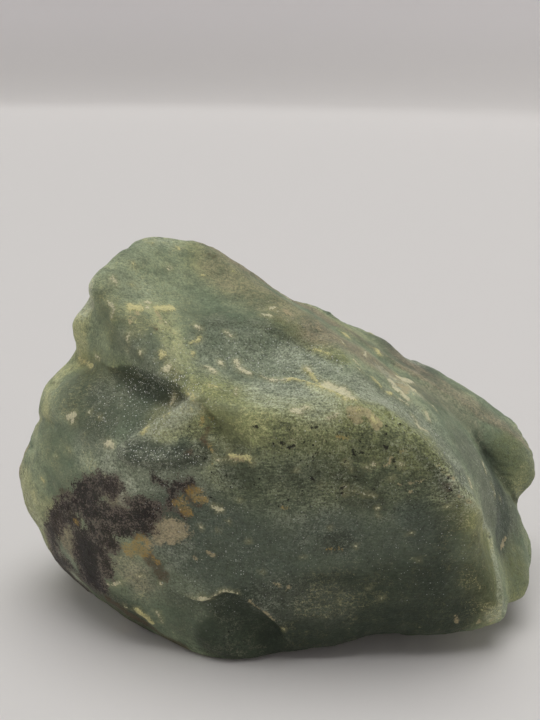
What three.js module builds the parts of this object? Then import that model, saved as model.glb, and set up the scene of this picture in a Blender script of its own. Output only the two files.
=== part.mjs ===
import * as THREE from "three";

// Raw aventurine: one broken lump of green quartz standing on its flattest break.
// Lengths are millimetres and angles degrees. +Z is up, the broadest face looks
// along -Y, and the lump tapers from a tall crown at -X to a low lobe at +X.

// Driving dimensions.
const HEART = [0, 2, 26]; // a point well inside the lump
const HALF_SPREAD = [42, 28, 31]; // rough half length, depth and height about the heart
const REACH = 70; // farther from the heart than any point of the skin
const SKIN_DETAIL = 16; // splits of each edge of the icosahedron that carries the skin
const FOOT_ROUND = 0.8; // rounding where the sides meet the resting break
const WAVE_HEIGHT = 0.35; // swell of the long, slow waves over every break
const SKIN_FINENESS = 1e-5; // how closely each skin point is placed

// Each break: where it passes, the way it looks (azimuth from +X toward +Y, elevation),
// its bend (0 flat, above 0 the radius of a hollow, below 0 of a dome), and the
// rounding of the arris where it meets the breaks before it.
const BREAKS = [
  { name: "front lower", at: [6, -22.5, 20], looks: [-86, -10], bend: -250, round: 3 },
  { name: "front upper", at: [8, -24, 38], looks: [-88, 28], bend: -200, round: 5 },
  { name: "crown hollow", at: [0, -10, 46.8], looks: [-86, 64], bend: 60, round: 1.5 },
  { name: "cheek high", at: [19, -10, 39], looks: [-7, 55], bend: 0, round: 3 },
  { name: "cheek low", at: [35.3, -7, 15], looks: [-27, 15], bend: 45, round: 2 },
  { name: "right end", at: [45, 7, 20], looks: [0, -8], bend: 0, round: 2 },
  { name: "right under", at: [40, -5, 6], looks: [-15, -25], bend: 0, round: 2.5 },
  { name: "ridge back", at: [11, 15, 44.3], looks: [13, 58], bend: 0, round: 0.6 },
  { name: "crown back", at: [-4, 10, 57.5], looks: [95, 25], bend: 0, round: 0.8 },
  { name: "back", at: [5, 29, 25], looks: [84, 6], bend: -150, round: 3 },
  { name: "back hollow", at: [6, 21.5, 33], looks: [80, 22], bend: 45, round: 1.5 },
  { name: "back low", at: [-4, 27, 5], looks: [85, -42], bend: 0, round: 2.5 },
  { name: "back scoop", at: [-18, 24, 20], looks: [118, 8], bend: 30, round: 1.5 },
  { name: "back left", at: [-26, 22, 30], looks: [140, 20], bend: -150, round: 3 },
  { name: "back right", at: [44, 22, 18], looks: [40, 10], bend: -150, round: 3 },
  { name: "crown top", at: [-20, 2, 61.5], looks: [178, 72], bend: 0, round: 5 },
  { name: "crown left", at: [-31, 2, 56], looks: [178, 42], bend: 0, round: 5 },
  { name: "left upper", at: [-38.5, 0, 36.5], looks: [180, 20], bend: 0, round: 3 },
  { name: "left lobe", at: [-34, -10, 36], looks: [-140, 18], bend: 0, round: 3 },
  { name: "left lower", at: [-41.5, 0, 16], looks: [180, -22], bend: 0, round: 4 },
  { name: "left under", at: [-32, -8, 5], looks: [200, -58], bend: 0, round: 3 },
  { name: "front left", at: [-27, -15, 21], looks: [-121, -5], bend: -150, round: 10 },
  { name: "left foot", at: [-25, -16.6, 7], looks: [-123, -22], bend: 0, round: 4 },
  { name: "belly right", at: [0, -12, 0.2], looks: [-30, -81.5], bend: 0, round: 2 },
  { name: "lobe under", at: [42.5, 8, 17], looks: [60, -35], bend: 30, round: 2 },
];

// Each step: a wall and a floor that meet in an inside corner, the rounding of
// that corner, and the rounding of its outer arris.
const STEPS = [
  {
    name: "valley",
    wall: { at: [-21, -10, 42], looks: [-130, -12], bend: 0 },
    floor: { at: [-21, -10, 42], looks: [-120, 46], bend: 0 },
    corner: 2,
    round: 1.5,
  },
  {
    name: "shelf",
    wall: { at: [-1, -7.5, 46.5], looks: [-72, 28], bend: 0 },
    floor: { at: [-1, -14, 44], looks: [-80, 76], bend: 50 },
    corner: 1.5,
    round: 1,
  },
  {
    name: "left bite",
    wall: { at: [-15.9, -17.5, 36.4], looks: [-113, 26], bend: 26 },
    floor: { at: [-15.5, -18.6, 34.2], looks: [-100, 55], bend: 0 },
    corner: 1,
    round: 0.8,
  },
  {
    name: "far trough",
    wall: { at: [36.7, 4, 22], looks: [-74, 14], bend: 0 },
    floor: { at: [36.7, 4, 22], looks: [-10, 34], bend: 0 },
    corner: 2,
    round: 2,
  },
];

// Each lump: a soft rise (height above 0) or dent (below 0) of the given reach.
const LUMPS = [
  { name: "left notch", at: [-33, -1.5, 42.7], height: -2.6, reach: 4.6 },
  { name: "far notch", at: [44.5, 6, 13.5], height: -3, reach: 3.2 },
  { name: "crown knob", at: [-30, 1, 53], height: 0.4, reach: 4 },
  { name: "crown nick", at: [-31, 0, 49.5], height: -0.4, reach: 3 },
  { name: "crown trough", at: [-27.5, -5, 49], height: -1.2, reach: 4 },
  { name: "lobe nick", at: [-39.5, -2, 31.5], height: -0.9, reach: 3 },
  { name: "low nick", at: [-42, -2, 19.5], height: -0.2, reach: 3 },
  { name: "chin scoop", at: [-0.5, -18.5, 5.5], height: -1.6, reach: 4.5 },
  { name: "chin knob", at: [-9, -18, 4], height: 0.8, reach: 5 },
  { name: "groove high", at: [-7, -20.5, 38.5], height: -0.8, reach: 2.5 },
  { name: "groove low", at: [-4.5, -21.8, 35.5], height: -0.8, reach: 2.5 },
  { name: "crown shoulder", at: [-20.5, 1.5, 59.5], height: 0.9, reach: 4 },
  { name: "crown peak", at: [-15, 6.5, 60.7], height: -0.8, reach: 3.5 },
  { name: "crown brow", at: [-9.5, 8.5, 57.3], height: 0.6, reach: 4 },
  { name: "brow dip", at: [2.5, 13, 50.3], height: -1.2, reach: 4.5 },
  { name: "rim dip", at: [11, 16, 45], height: -0.8, reach: 3 },
  { name: "rim knob", at: [18.5, 16.5, 40], height: 0.9, reach: 3.5 },
  { name: "rim bulge", at: [27.5, 19, 34], height: 0.9, reach: 4.5 },
  { name: "rim bulge right", at: [34, 17, 31], height: 0.7, reach: 4.5 },
  { name: "lobe top", at: [44, 10, 24], height: -0.7, reach: 5 },
  { name: "lobe waist", at: [41.5, 4.5, 16], height: -1, reach: 2.5 },
  { name: "low cheek", at: [42.3, 0.3, 10.7], height: -0.7, reach: 4 },
  { name: "low corner", at: [36.7, -12.7, 5.7], height: -0.8, reach: 3 },
  { name: "belly front", at: [15.5, -18.5, 2.5], height: -1.1, reach: 8 },
  { name: "belly left", at: [1, -18.5, 0.8], height: -0.3, reach: 6 },
  { name: "heel left", at: [-17.5, -14.7, 1.3], height: -0.7, reach: 4.5 },
  { name: "left swell", at: [-41.2, -0.5, 25], height: -0.3, reach: 4 },
  { name: "lobe side", at: [-37.5, -2, 36], height: -0.1, reach: 3.5 },
  { name: "notch knob", at: [-30, -1, 47.6], height: 0.7, reach: 3 },
  { name: "crown bite", at: [-29, -3.2, 52.4], height: -1.5, reach: 2 },
  { name: "lobe edge", at: [43, 7, 19], height: 0.5, reach: 4 },
  { name: "cheek end", at: [40.3, -3.5, 9], height: 0.6, reach: 4.5 },
  { name: "crown flank", at: [-26.5, -3.2, 56.8], height: -0.3, reach: 3 },
];

/** The larger of two heights, with the corner between them rounded. */
function roundedMax(a, b, round) {
  const overlap = Math.max(round - Math.abs(a - b), 0);
  return Math.max(a, b) + (overlap * overlap) / (4 * round);
}

/** The unit vector that looks along an azimuth and an elevation. */
function lookingAlong([azimuth, elevation]) {
  const turn = THREE.MathUtils.degToRad(azimuth);
  const tilt = THREE.MathUtils.degToRad(elevation);
  const level = Math.cos(tilt);
  return new THREE.Vector3(level * Math.cos(turn), level * Math.sin(turn), Math.sin(tilt));
}

/** One face of a break, which tells how far outside it a point stands. */
class Face {
  constructor({ at, looks, bend }) {
    this.bend = bend;
    this.outward = lookingAlong(looks);
    this.at = new THREE.Vector3(...at);
    this.middle = this.at.clone().addScaledVector(this.outward, bend);
  }

  heightOf(point) {
    if (this.bend === 0) {
      return this.outward.dot(point) - this.outward.dot(this.at);
    }
    const fromMiddle = this.middle.distanceTo(point);
    return this.bend > 0 ? this.bend - fromMiddle : fromMiddle + this.bend;
  }
}

/** The whole lump, as the part of space that lies inside every break. */
class Stone {
  constructor() {
    this.breaks = BREAKS.map((spec) => ({ face: new Face(spec), round: spec.round }));
    this.steps = STEPS.map((spec) => ({
      wall: new Face(spec.wall),
      floor: new Face(spec.floor),
      corner: spec.corner,
      round: spec.round,
    }));
    this.lumps = LUMPS.map((spec) => ({ ...spec, at: new THREE.Vector3(...spec.at) }));
  }

  /** The point moved by the slow waves that keep every break a little uneven. */
  waved({ x, y, z }) {
    return new THREE.Vector3(
      x + WAVE_HEIGHT * (Math.sin(0.31 * z + 1.3) + Math.sin(0.23 * y + 0.4)),
      y + WAVE_HEIGHT * (Math.sin(0.27 * x + 2.1) + Math.sin(0.19 * z + 0.9)),
      z + WAVE_HEIGHT * (Math.sin(0.29 * y + 0.2) + Math.sin(0.21 * x + 1.7)),
    );
  }

  /** Height of a point above the skin: below 0 inside the stone. */
  heightOf(point) {
    const moved = this.waved(point);
    let height = -Infinity;
    for (const { face, round } of this.breaks) {
      height = roundedMax(height, face.heightOf(moved), round);
    }
    for (const { wall, floor, corner, round } of this.steps) {
      const inside = roundedMax(-wall.heightOf(moved), -floor.heightOf(moved), corner);
      height = roundedMax(height, -inside, round);
    }
    for (const lump of this.lumps) {
      const spread = lump.at.distanceToSquared(point) / lump.reach ** 2;
      height -= lump.height * Math.exp(-spread);
    }
    return roundedMax(height, -point.z, FOOT_ROUND);
  }

  /** The point of the skin seen from the heart along one direction. */
  skinAlong(direction) {
    const heart = new THREE.Vector3(...HEART);
    const point = new THREE.Vector3();
    let inside = 0;
    let outside = REACH;
    while (outside - inside > SKIN_FINENESS) {
      const middle = (inside + outside) / 2;
      point.copy(heart).addScaledVector(direction, middle);
      if (this.heightOf(point) < 0) {
        inside = middle;
      } else {
        outside = middle;
      }
    }
    return point;
  }

  /** A closed skin, centred over the origin with its resting break at z = 0. */
  geometry() {
    const skin = new THREE.IcosahedronGeometry(1, SKIN_DETAIL);
    const places = skin.getAttribute("position");
    const spread = new THREE.Vector3(...HALF_SPREAD);
    const direction = new THREE.Vector3();
    for (let i = 0; i < places.count; i += 1) {
      direction.fromBufferAttribute(places, i).multiply(spread).normalize();
      const { x, y, z } = this.skinAlong(direction);
      places.setXYZ(i, x, y, Math.max(z, 0));
    }
    skin.computeBoundingBox();
    const middle = skin.boundingBox.getCenter(new THREE.Vector3());
    skin.translate(-middle.x, -middle.y, -skin.boundingBox.min.z);
    skin.deleteAttribute("uv");
    skin.computeVertexNormals();
    return skin;
  }
}

const aventurine = new THREE.MeshStandardMaterial({
  name: "aventurine",
  color: 0x7c9480,
  roughness: 0.6,
});

const stone = new THREE.Mesh(new Stone().geometry(), aventurine);
stone.name = "stone";

const part = new THREE.Group();
part.name = "raw_aventurine";
part.add(stone);

export default part;
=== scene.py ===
"""Raw aventurine: one broken lump of green quartz on a pale studio floor.

Lengths in the classes are millimetres and angles are degrees. Meshes are written in metres.
"""

import logging
import math
import random
from collections.abc import Iterator
from dataclasses import dataclass, field
from enum import Enum
from functools import reduce
from itertools import combinations
from operator import add

import bpy
import numpy as np
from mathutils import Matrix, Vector, noise
from mathutils.bvhtree import BVHTree

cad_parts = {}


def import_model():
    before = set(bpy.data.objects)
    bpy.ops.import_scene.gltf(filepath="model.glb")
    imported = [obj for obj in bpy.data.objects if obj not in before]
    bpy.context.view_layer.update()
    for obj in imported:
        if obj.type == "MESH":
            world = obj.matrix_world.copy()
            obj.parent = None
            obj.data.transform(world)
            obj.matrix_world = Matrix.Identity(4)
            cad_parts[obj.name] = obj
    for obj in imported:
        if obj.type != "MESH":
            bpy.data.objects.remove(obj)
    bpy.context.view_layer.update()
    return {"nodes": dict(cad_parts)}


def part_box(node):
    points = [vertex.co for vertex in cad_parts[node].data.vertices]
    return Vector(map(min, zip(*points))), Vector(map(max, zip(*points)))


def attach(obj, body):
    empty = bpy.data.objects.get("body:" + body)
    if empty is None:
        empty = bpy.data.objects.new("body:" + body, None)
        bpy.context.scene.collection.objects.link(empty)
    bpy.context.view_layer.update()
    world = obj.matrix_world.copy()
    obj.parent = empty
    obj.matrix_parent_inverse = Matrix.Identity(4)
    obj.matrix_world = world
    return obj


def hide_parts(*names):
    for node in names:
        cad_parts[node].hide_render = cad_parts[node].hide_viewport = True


LOG = logging.getLogger("raw_aventurine")
MM = 0.001

Point = tuple[float, float, float]
Spot = tuple[float, float]
Path = tuple[float, ...]
Colour = tuple[float, float, float, float]
Fractal = tuple[float, float, int]


def looking_along(azimuth: float, elevation: float) -> np.ndarray:
    """The unit vector that looks along an azimuth from +X toward +Y and an elevation.

    Args:
        azimuth: Degrees round from +X.
        elevation: Degrees up from level.

    Returns:
        The vector.
    """
    turn, tilt = math.radians(azimuth), math.radians(elevation)
    level = math.cos(tilt)
    return np.array([level * math.cos(turn), level * math.sin(turn), math.sin(tilt)])


def rounded_max(first: np.ndarray, second: np.ndarray, rounding: float) -> np.ndarray:
    """The larger of two heights, with the corner between them rounded."""
    overlap = np.maximum(rounding - np.abs(first - second), 0.0)
    return np.maximum(first, second) + overlap * overlap / (4 * rounding)


def smooth_step(values: np.ndarray, low: float, high: float) -> np.ndarray:
    """Zero below low, one above high, and a smooth rise between them."""
    share = np.clip((values - low) / (high - low), 0.0, 1.0)
    return share * share * (3 - 2 * share)


def link(thing: bpy.types.Object) -> bpy.types.Object:
    """Puts a thing into the scene and hands it back."""
    bpy.context.scene.collection.objects.link(thing)
    return thing


def smooth_mesh(name: str, points: np.ndarray, faces: list) -> bpy.types.Object:
    """Makes a smooth-shaded piece.

    Args:
        name: The piece's name.
        points: Its points in millimetres, one row each.
        faces: Its faces, each as the numbers of its points.

    Returns:
        The piece, in the scene and in metres.
    """
    mesh = bpy.data.meshes.new(name)
    mesh.from_pydata((points * MM).tolist(), [], faces)
    mesh.polygons.foreach_set("use_smooth", np.ones(len(faces), bool))
    return link(bpy.data.objects.new(name, mesh))


# ---------------------------------------------------------------- the shape of the lump


@dataclass(frozen=True)
class Face:
    """One broken face: flat, hollow (bend above 0) or domed (bend below 0)."""

    at: Point
    looks: Spot
    bend: float = 0.0

    def heights(self, points: np.ndarray) -> np.ndarray:
        """How far each point stands outside the face.

        Args:
            points: The points, one row each.

        Returns:
            One height for each point.
        """
        outward = looking_along(*self.looks)
        place = np.array(self.at, float)
        if self.bend == 0:
            return (points - place) @ outward
        from_middle = np.linalg.norm(points - (place + self.bend * outward), axis=1)
        if self.bend > 0:
            return self.bend - from_middle
        return from_middle + self.bend


@dataclass(frozen=True)
class Break:
    """A face that cuts the lump, with the rounding of its arris."""

    name: str
    face: Face
    rounding: float


@dataclass(frozen=True)
class Step:
    """A wall and a floor that meet in an inside corner."""

    name: str
    wall: Face
    floor: Face
    corner: float
    rounding: float


@dataclass(frozen=True)
class Lump:
    """A soft rise (height above 0) or dent (below 0) of the given reach."""

    name: str
    at: Point
    height: float
    reach: float


BREAKS = (
    Break("front lower", Face((6, -22.5, 20), (-86, -10), -250), 3),
    Break("front upper", Face((8, -24, 38), (-88, 28), -200), 5),
    Break("crown hollow", Face((0, -10, 46.8), (-86, 64), 60), 1.5),
    Break("cheek high", Face((19, -10, 39), (-7, 55)), 3),
    Break("cheek low", Face((35.3, -7, 15), (-27, 15), 45), 2),
    Break("right end", Face((45, 7, 20), (0, -8)), 2),
    Break("right under", Face((40, -5, 6), (-15, -25)), 2.5),
    Break("ridge back", Face((11, 15, 44.3), (13, 58)), 0.6),
    Break("crown back", Face((-4, 10, 57.5), (95, 25)), 0.8),
    Break("back", Face((5, 29, 25), (84, 6), -150), 3),
    Break("back hollow", Face((6, 21.5, 33), (80, 22), 45), 1.5),
    Break("back low", Face((-4, 27, 5), (85, -42)), 2.5),
    Break("back scoop", Face((-18, 24, 20), (118, 8), 30), 1.5),
    Break("back left", Face((-26, 22, 30), (140, 20), -150), 3),
    Break("back right", Face((44, 22, 18), (40, 10), -150), 3),
    Break("crown top", Face((-20, 2, 61.5), (178, 72)), 5),
    Break("crown left", Face((-31, 2, 56), (178, 42)), 5),
    Break("left upper", Face((-38.5, 0, 36.5), (180, 20)), 3),
    Break("left lobe", Face((-34, -10, 36), (-140, 18)), 3),
    Break("left lower", Face((-41.5, 0, 16), (180, -22)), 4),
    Break("left under", Face((-32, -8, 5), (200, -58)), 3),
    Break("front left", Face((-27, -15, 21), (-121, -5), -150), 10),
    Break("left foot", Face((-25, -16.6, 7), (-123, -22)), 4),
    Break("belly right", Face((0, -12, 0.2), (-30, -81.5)), 2),
    Break("lobe under", Face((42.5, 8, 17), (60, -35), 30), 2),
)

STEPS = (
    Step("valley", Face((-21, -10, 42), (-130, -12)), Face((-21, -10, 42), (-120, 46)), 2, 1.5),
    Step("shelf", Face((-1, -7.5, 46.5), (-72, 28)), Face((-1, -14, 44), (-80, 76), 50), 1.5, 1),
    Step(
        "left bite",
        Face((-15.9, -17.5, 36.4), (-113, 26), 26),
        Face((-15.5, -18.6, 34.2), (-100, 55)),
        1,
        0.8,
    ),
    Step("far trough", Face((36.7, 4, 22), (-74, 14)), Face((36.7, 4, 22), (-10, 34)), 2, 2),
)

LUMPS = (
    Lump("left notch", (-33, -1.5, 42.7), -2.6, 4.6),
    Lump("far notch", (44.5, 6, 13.5), -3, 3.2),
    Lump("crown knob", (-30, 1, 53), 0.4, 4),
    Lump("crown nick", (-31, 0, 49.5), -0.4, 3),
    Lump("crown trough", (-27.5, -5, 49), -1.2, 4),
    Lump("lobe nick", (-39.5, -2, 31.5), -0.9, 3),
    Lump("low nick", (-42, -2, 19.5), -0.2, 3),
    Lump("chin scoop", (-0.5, -18.5, 5.5), -1.6, 4.5),
    Lump("chin knob", (-9, -18, 4), 0.8, 5),
    Lump("groove high", (-7, -20.5, 38.5), -0.8, 2.5),
    Lump("groove low", (-4.5, -21.8, 35.5), -0.8, 2.5),
    Lump("crown shoulder", (-20.5, 1.5, 59.5), 0.9, 4),
    Lump("crown peak", (-15, 6.5, 60.7), -0.8, 3.5),
    Lump("crown brow", (-9.5, 8.5, 57.3), 0.6, 4),
    Lump("brow dip", (2.5, 13, 50.3), -1.2, 4.5),
    Lump("rim dip", (11, 16, 45), -0.8, 3),
    Lump("rim knob", (18.5, 16.5, 40), 0.9, 3.5),
    Lump("rim bulge", (27.5, 19, 34), 0.9, 4.5),
    Lump("rim bulge right", (34, 17, 31), 0.7, 4.5),
    Lump("lobe top", (44, 10, 24), -0.7, 5),
    Lump("lobe waist", (41.5, 4.5, 16), -1, 2.5),
    Lump("low cheek", (42.3, 0.3, 10.7), -0.7, 4),
    Lump("low corner", (36.7, -12.7, 5.7), -0.8, 3),
    Lump("belly front", (15.5, -18.5, 2.5), -1.1, 8),
    Lump("belly left", (1, -18.5, 0.8), -0.3, 6),
    Lump("heel left", (-17.5, -14.7, 1.3), -0.7, 4.5),
    Lump("left swell", (-41.2, -0.5, 25), -0.3, 4),
    Lump("lobe side", (-37.5, -2, 36), -0.1, 3.5),
    Lump("notch knob", (-30, -1, 47.6), 0.7, 3),
    Lump("crown bite", (-29, -3.2, 52.4), -1.5, 2),
    Lump("lobe edge", (43, 7, 19), 0.5, 4),
    Lump("cheek end", (40.3, -3.5, 9), 0.6, 4.5),
    Lump("crown flank", (-26.5, -3.2, 56.8), -0.3, 3),
)


@dataclass(frozen=True)
class Skin:
    """The closed skin of the lump: the part of space that lies inside every break.

    Each of the waves has a rate, the axis that it runs along and its start. Two of them sway
    the points along each axis.
    """

    heart: Point = (0, 2, 26)
    half_spread: Point = (42, 28, 31)
    reach: float = 70.0
    splits: int = 98
    side_limit: float = 2.01
    merge_decimals: int = 6
    front_lean: float = 0.36
    foot_round: float = 0.8
    wave_height: float = 0.35
    waves: tuple[tuple[Point, Point], ...] = (
        ((0.31, 2, 1.3), (0.23, 1, 0.4)),
        ((0.27, 0, 2.1), (0.19, 2, 0.9)),
        ((0.29, 1, 0.2), (0.21, 0, 1.7)),
    )
    halvings: int = 23

    def waved(self, points: np.ndarray) -> np.ndarray:
        """Moves the points by the slow waves that keep every break a little uneven.

        Args:
            points: The points, one row each.

        Returns:
            The moved points.
        """
        sway = [
            sum(np.sin(rate * points[:, axis] + start) for rate, axis, start in pair)
            for pair in self.waves
        ]
        return points + self.wave_height * np.stack(sway, axis=1)

    def heights(self, points: np.ndarray) -> np.ndarray:
        """Height of each point above the skin.

        Args:
            points: The points, one row each.

        Returns:
            One height for each point, below 0 inside the stone.
        """
        moved = self.waved(points)
        height = BREAKS[0].face.heights(moved)
        for cut in BREAKS[1:]:
            height = rounded_max(height, cut.face.heights(moved), cut.rounding)
        for step in STEPS:
            wall, floor = step.wall.heights(moved), step.floor.heights(moved)
            height = rounded_max(height, -rounded_max(-wall, -floor, step.corner), step.rounding)
        for lump in LUMPS:
            spread = ((points - np.array(lump.at, float)) ** 2).sum(1) / lump.reach**2
            height = height - lump.height * np.exp(-spread)
        return rounded_max(height, -points[:, 2], self.foot_round)

    def split_side(self) -> tuple[np.ndarray, np.ndarray]:
        """One side of the icosahedron, split evenly.

        Returns:
            The share of each corner in each point, and the triangles between the points.
        """
        count = self.splits
        steps = [(i, j) for i in range(count + 1) for j in range(count + 1 - i)]
        place = {step: index for index, step in enumerate(steps)}
        cells = []
        for i, j in steps:
            if i + j < count:
                cells.append((place[i, j], place[i + 1, j], place[i, j + 1]))
            if i + j < count - 1:
                cells.append((place[i + 1, j], place[i + 1, j + 1], place[i, j + 1]))
        return np.array([(count - i - j, i, j) for i, j in steps], float) / count, np.array(cells)

    def ball(self) -> tuple[np.ndarray, np.ndarray]:
        """Evenly split icosahedron.

        Returns:
            Unit directions and the triangles between them.
        """
        golden = (1 + math.sqrt(5)) / 2
        corners = []
        for one in (-1, 1):
            for other in (-golden, golden):
                corners += [(0, one, other), (one, other, 0), (other, 0, one)]
        corners = np.array(corners, float)
        shares, cells = self.split_side()
        points, triangles = [], []
        for trio in combinations(range(len(corners)), 3):
            side = corners[list(trio)]
            if max(np.linalg.norm(side[k] - side[k - 1]) for k in range(3)) > self.side_limit:
                continue
            if np.dot(np.cross(side[1] - side[0], side[2] - side[0]), side[0]) < 0:
                side = side[::-1]
            triangles.append(cells + len(points) * len(shares))
            points.append(shares @ side)
        points = np.concatenate(points)
        points /= np.linalg.norm(points, axis=1, keepdims=True)
        merged = np.round(points, self.merge_decimals)
        _, first, back = np.unique(merged, axis=0, return_index=True, return_inverse=True)
        return points[first], back.reshape(-1)[np.concatenate(triangles)]

    def cut(self) -> tuple[np.ndarray, np.ndarray]:
        """Finds the skin by halving the way out from the heart.

        Returns:
            The skin's points, closer together on the broad front, and its triangles.
        """
        for part in (*BREAKS, *STEPS, *LUMPS):
            LOG.debug("cut: %s", part.name)
        directions, triangles = self.ball()
        directions = directions + np.array([0.0, -self.front_lean, 0.0])
        directions /= np.linalg.norm(directions, axis=1, keepdims=True)
        directions = directions * np.array(self.half_spread, float)
        directions /= np.linalg.norm(directions, axis=1, keepdims=True)
        heart = np.array(self.heart, float)
        inside = np.zeros(len(directions))
        outside = np.full(len(directions), self.reach)
        for _ in range(self.halvings):
            middle = (inside + outside) / 2
            within = self.heights(heart + directions * middle[:, None]) < 0
            inside = np.where(within, middle, inside)
            outside = np.where(within, outside, middle)
        points = heart + directions * inside[:, None]
        points[:, 2] = np.maximum(points[:, 2], 0.0)
        return points, triangles


# ---------------------------------------------------------------- the camera and its sight


@dataclass(frozen=True)
class View:
    """The camera: where it stands, how far it looks down, and its frame in pixels."""

    at: Point = (-1.0, -153.0, 89.0)
    pitch: float = 17.0
    focal: float = 1024.0
    frame: Spot = (540.0, 720.0)
    sensor: float = 36.0
    nearest: float = 5.0

    def ray(self, spot: Spot) -> Vector:
        """The direction that leads from the camera through a spot.

        Args:
            spot: Pixels across and down the camera's frame.

        Returns:
            The unit direction.
        """
        tilt = math.radians(self.pitch)
        ahead = Vector((0, math.cos(tilt), -math.sin(tilt)))
        above = Vector((0, math.sin(tilt), math.cos(tilt)))
        across = Vector((1, 0, 0))
        right = (spot[0] - self.frame[0] / 2) / self.focal
        high = (self.frame[1] / 2 - spot[1]) / self.focal
        return (ahead + right * across + high * above).normalized()

    def build(self, offset: np.ndarray) -> bpy.types.Object:
        """Adds the camera and makes it the scene's own.

        Args:
            offset: The move that the stone was given.

        Returns:
            The camera.
        """
        lens = bpy.data.cameras.new("camera")
        lens.sensor_width = self.sensor
        lens.lens = self.focal / self.frame[1] * self.sensor
        lens.clip_start = self.nearest * MM
        camera = link(bpy.data.objects.new("camera", lens))
        camera.location = Vector(np.array(self.at) + offset) * MM
        camera.rotation_euler = (math.radians(90 - self.pitch), 0, 0)
        bpy.context.scene.camera = camera
        return camera


class Sight:
    """Finds the point of the skin that stands behind a spot of the camera's frame."""

    off_side = 5.0
    turned_from = 0.18
    turned_full = 0.6
    well_behind = -1.0
    veer = 0.5
    tiny = 1e-9

    def __init__(self, view: View, points: np.ndarray, triangles: np.ndarray) -> None:
        """Keeps a search tree of the skin."""
        self.view = view
        self.tree = BVHTree.FromPolygons(points.tolist(), triangles.tolist())

    def land(self, spot: Spot) -> np.ndarray:
        """The skin's point behind a spot, or the nearest one where the ray goes past.

        Args:
            spot: Pixels across and down the camera's frame.

        Returns:
            The point.
        """
        start, ray = Vector(self.view.at), self.view.ray(spot)
        hit = self.tree.ray_cast(start, ray)[0]
        if hit is None:
            hit = self.tree.find_nearest(start - ray * start.dot(ray))[0]
        return np.array(hit)

    def distances(self, points: np.ndarray, path: Path, lean: int = 0) -> np.ndarray:
        """Distance from each point to a path of spots laid on the skin.

        Args:
            points: The points to measure from.
            path: The spots, each as two numbers in a row.
            lean: 1 counts distances on the left of the path several times over, and -1 does so
                on its right.

        Returns:
            One distance for each point.
        """
        return self.along(points, [self.land(spot) for spot in zip(path[::2], path[1::2])], lean)

    def along(self, points: np.ndarray, knots: list[np.ndarray], lean: int = 0) -> np.ndarray:
        """Distance from each point to a line.

        Args:
            points: The points to measure from.
            knots: The points that the line runs through.
            lean: As for distances.

        Returns:
            One distance for each point.
        """
        if len(knots) == 1:
            return np.linalg.norm(points - knots[0], axis=1)
        nearest = np.full(len(points), np.inf)
        side = np.zeros(len(points))
        for start, end in zip(knots, knots[1:]):
            run = end - start
            ahead = (points - start) @ run / max(run @ run, self.tiny)
            gap = np.linalg.norm(points - start - np.clip(ahead, 0.0, 1.0)[:, None] * run, axis=1)
            rightward = np.cross(run, np.array(self.view.at) - start)
            side = np.where(gap < nearest, (points - start) @ rightward, side)
            nearest = np.minimum(nearest, gap)
        return np.where(side * lean < 0, nearest * self.off_side, nearest)

    def hidden(self, points: np.ndarray, normals: np.ndarray) -> np.ndarray:
        """How far each point of the skin faces away from the camera.

        Args:
            points: The skin's points.
            normals: Their outward unit vectors.

        Returns:
            One number from 0 to 1 for each point.
        """
        toward = np.array(self.view.at) - points
        toward /= np.linalg.norm(toward, axis=1, keepdims=True)
        return smooth_step(-(toward * normals).sum(1), self.turned_from, self.turned_full)

    def stray(self, skin: Skin, length: float, chance: random.Random) -> list[np.ndarray]:
        """A short line that wanders over the side the camera does not see.

        Args:
            skin: The skin, for its heart and reach.
            length: About how long each of its two runs is.
            chance: Where the random numbers come from.

        Returns:
            The line's three knots.
        """
        while True:
            out = Vector([chance.gauss(0, 1) for _ in range(3)]).normalized()
            hit, facing = self.tree.ray_cast(Vector(skin.heart) + out * skin.reach, -out)[:2]
            if hit is not None and facing.dot(Vector(self.view.at) - hit) < self.well_behind:
                break
        knots = [hit]
        step = Vector([chance.uniform(-1, 1) for _ in range(3)]) * length
        for _ in range(2):
            knots.append(self.tree.find_nearest(knots[-1] + step)[0])
            step += Vector([chance.uniform(-1, 1) for _ in range(3)]) * length * self.veer
        return [np.array(knot) for knot in knots]


# ---------------------------------------------------------------- marks, tones and relief


class Mark(Enum):
    """What a crisp mark on the skin is made of."""

    STAIN = "stain"
    UMBER = "umber"
    RUST = "rust"
    TAN = "tan"
    BUFF = "buff"
    CREAM = "cream"
    YELLOW = "yellow"
    SPECK = "speck"


class Tone(Enum):
    """A soft change of colour or texture over part of the skin."""

    HAZE = "haze"
    # Painted shade: dark green laid in creases, valleys, under ledges and near the floor.
    DEEP = "deep"
    OLIVE = "olive"
    # Partly a yellow-green tone, partly painted glow of light through thin rims and edges.
    STRAW = "straw"
    SLATE = "slate"
    # Partly a darker colour, partly painted shade on the front and low faces near the floor.
    DUSK = "dusk"
    BLUSH = "blush"
    PEPPER = "pepper"
    GLITTER = "glitter"
    WORN = "worn"


@dataclass(frozen=True)
class Laid:
    """Marks or a tone laid along paths of spots.

    A mark is crisp and as wide as its width. A tone is whole up to its width on either side of a
    path, and fades out over its fade. With a lean of 1 it lies on the right of its paths and soon
    ends on their left, and with -1 the other way round.
    """

    name: str
    kind: Mark | Tone
    width: float
    paths: tuple[Path, ...]
    fade: float = 0.0
    strength: float = 0.0
    lean: int = 0


@dataclass(frozen=True)
class Relief:
    """A crease (rise below 0) or ridge (above 0) along paths, with a lean as a tone has."""

    name: str
    rise: float
    reach: float
    lean: int
    paths: tuple[Path, ...]


@dataclass(frozen=True)
class Strewn:
    """Marks or tones strewn over the unseen sides: how many, how broad and how long."""

    kind: Mark | Tone
    count: int
    width: float
    length: float
    fade: float = 0.0
    strength: float = 0.0


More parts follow.
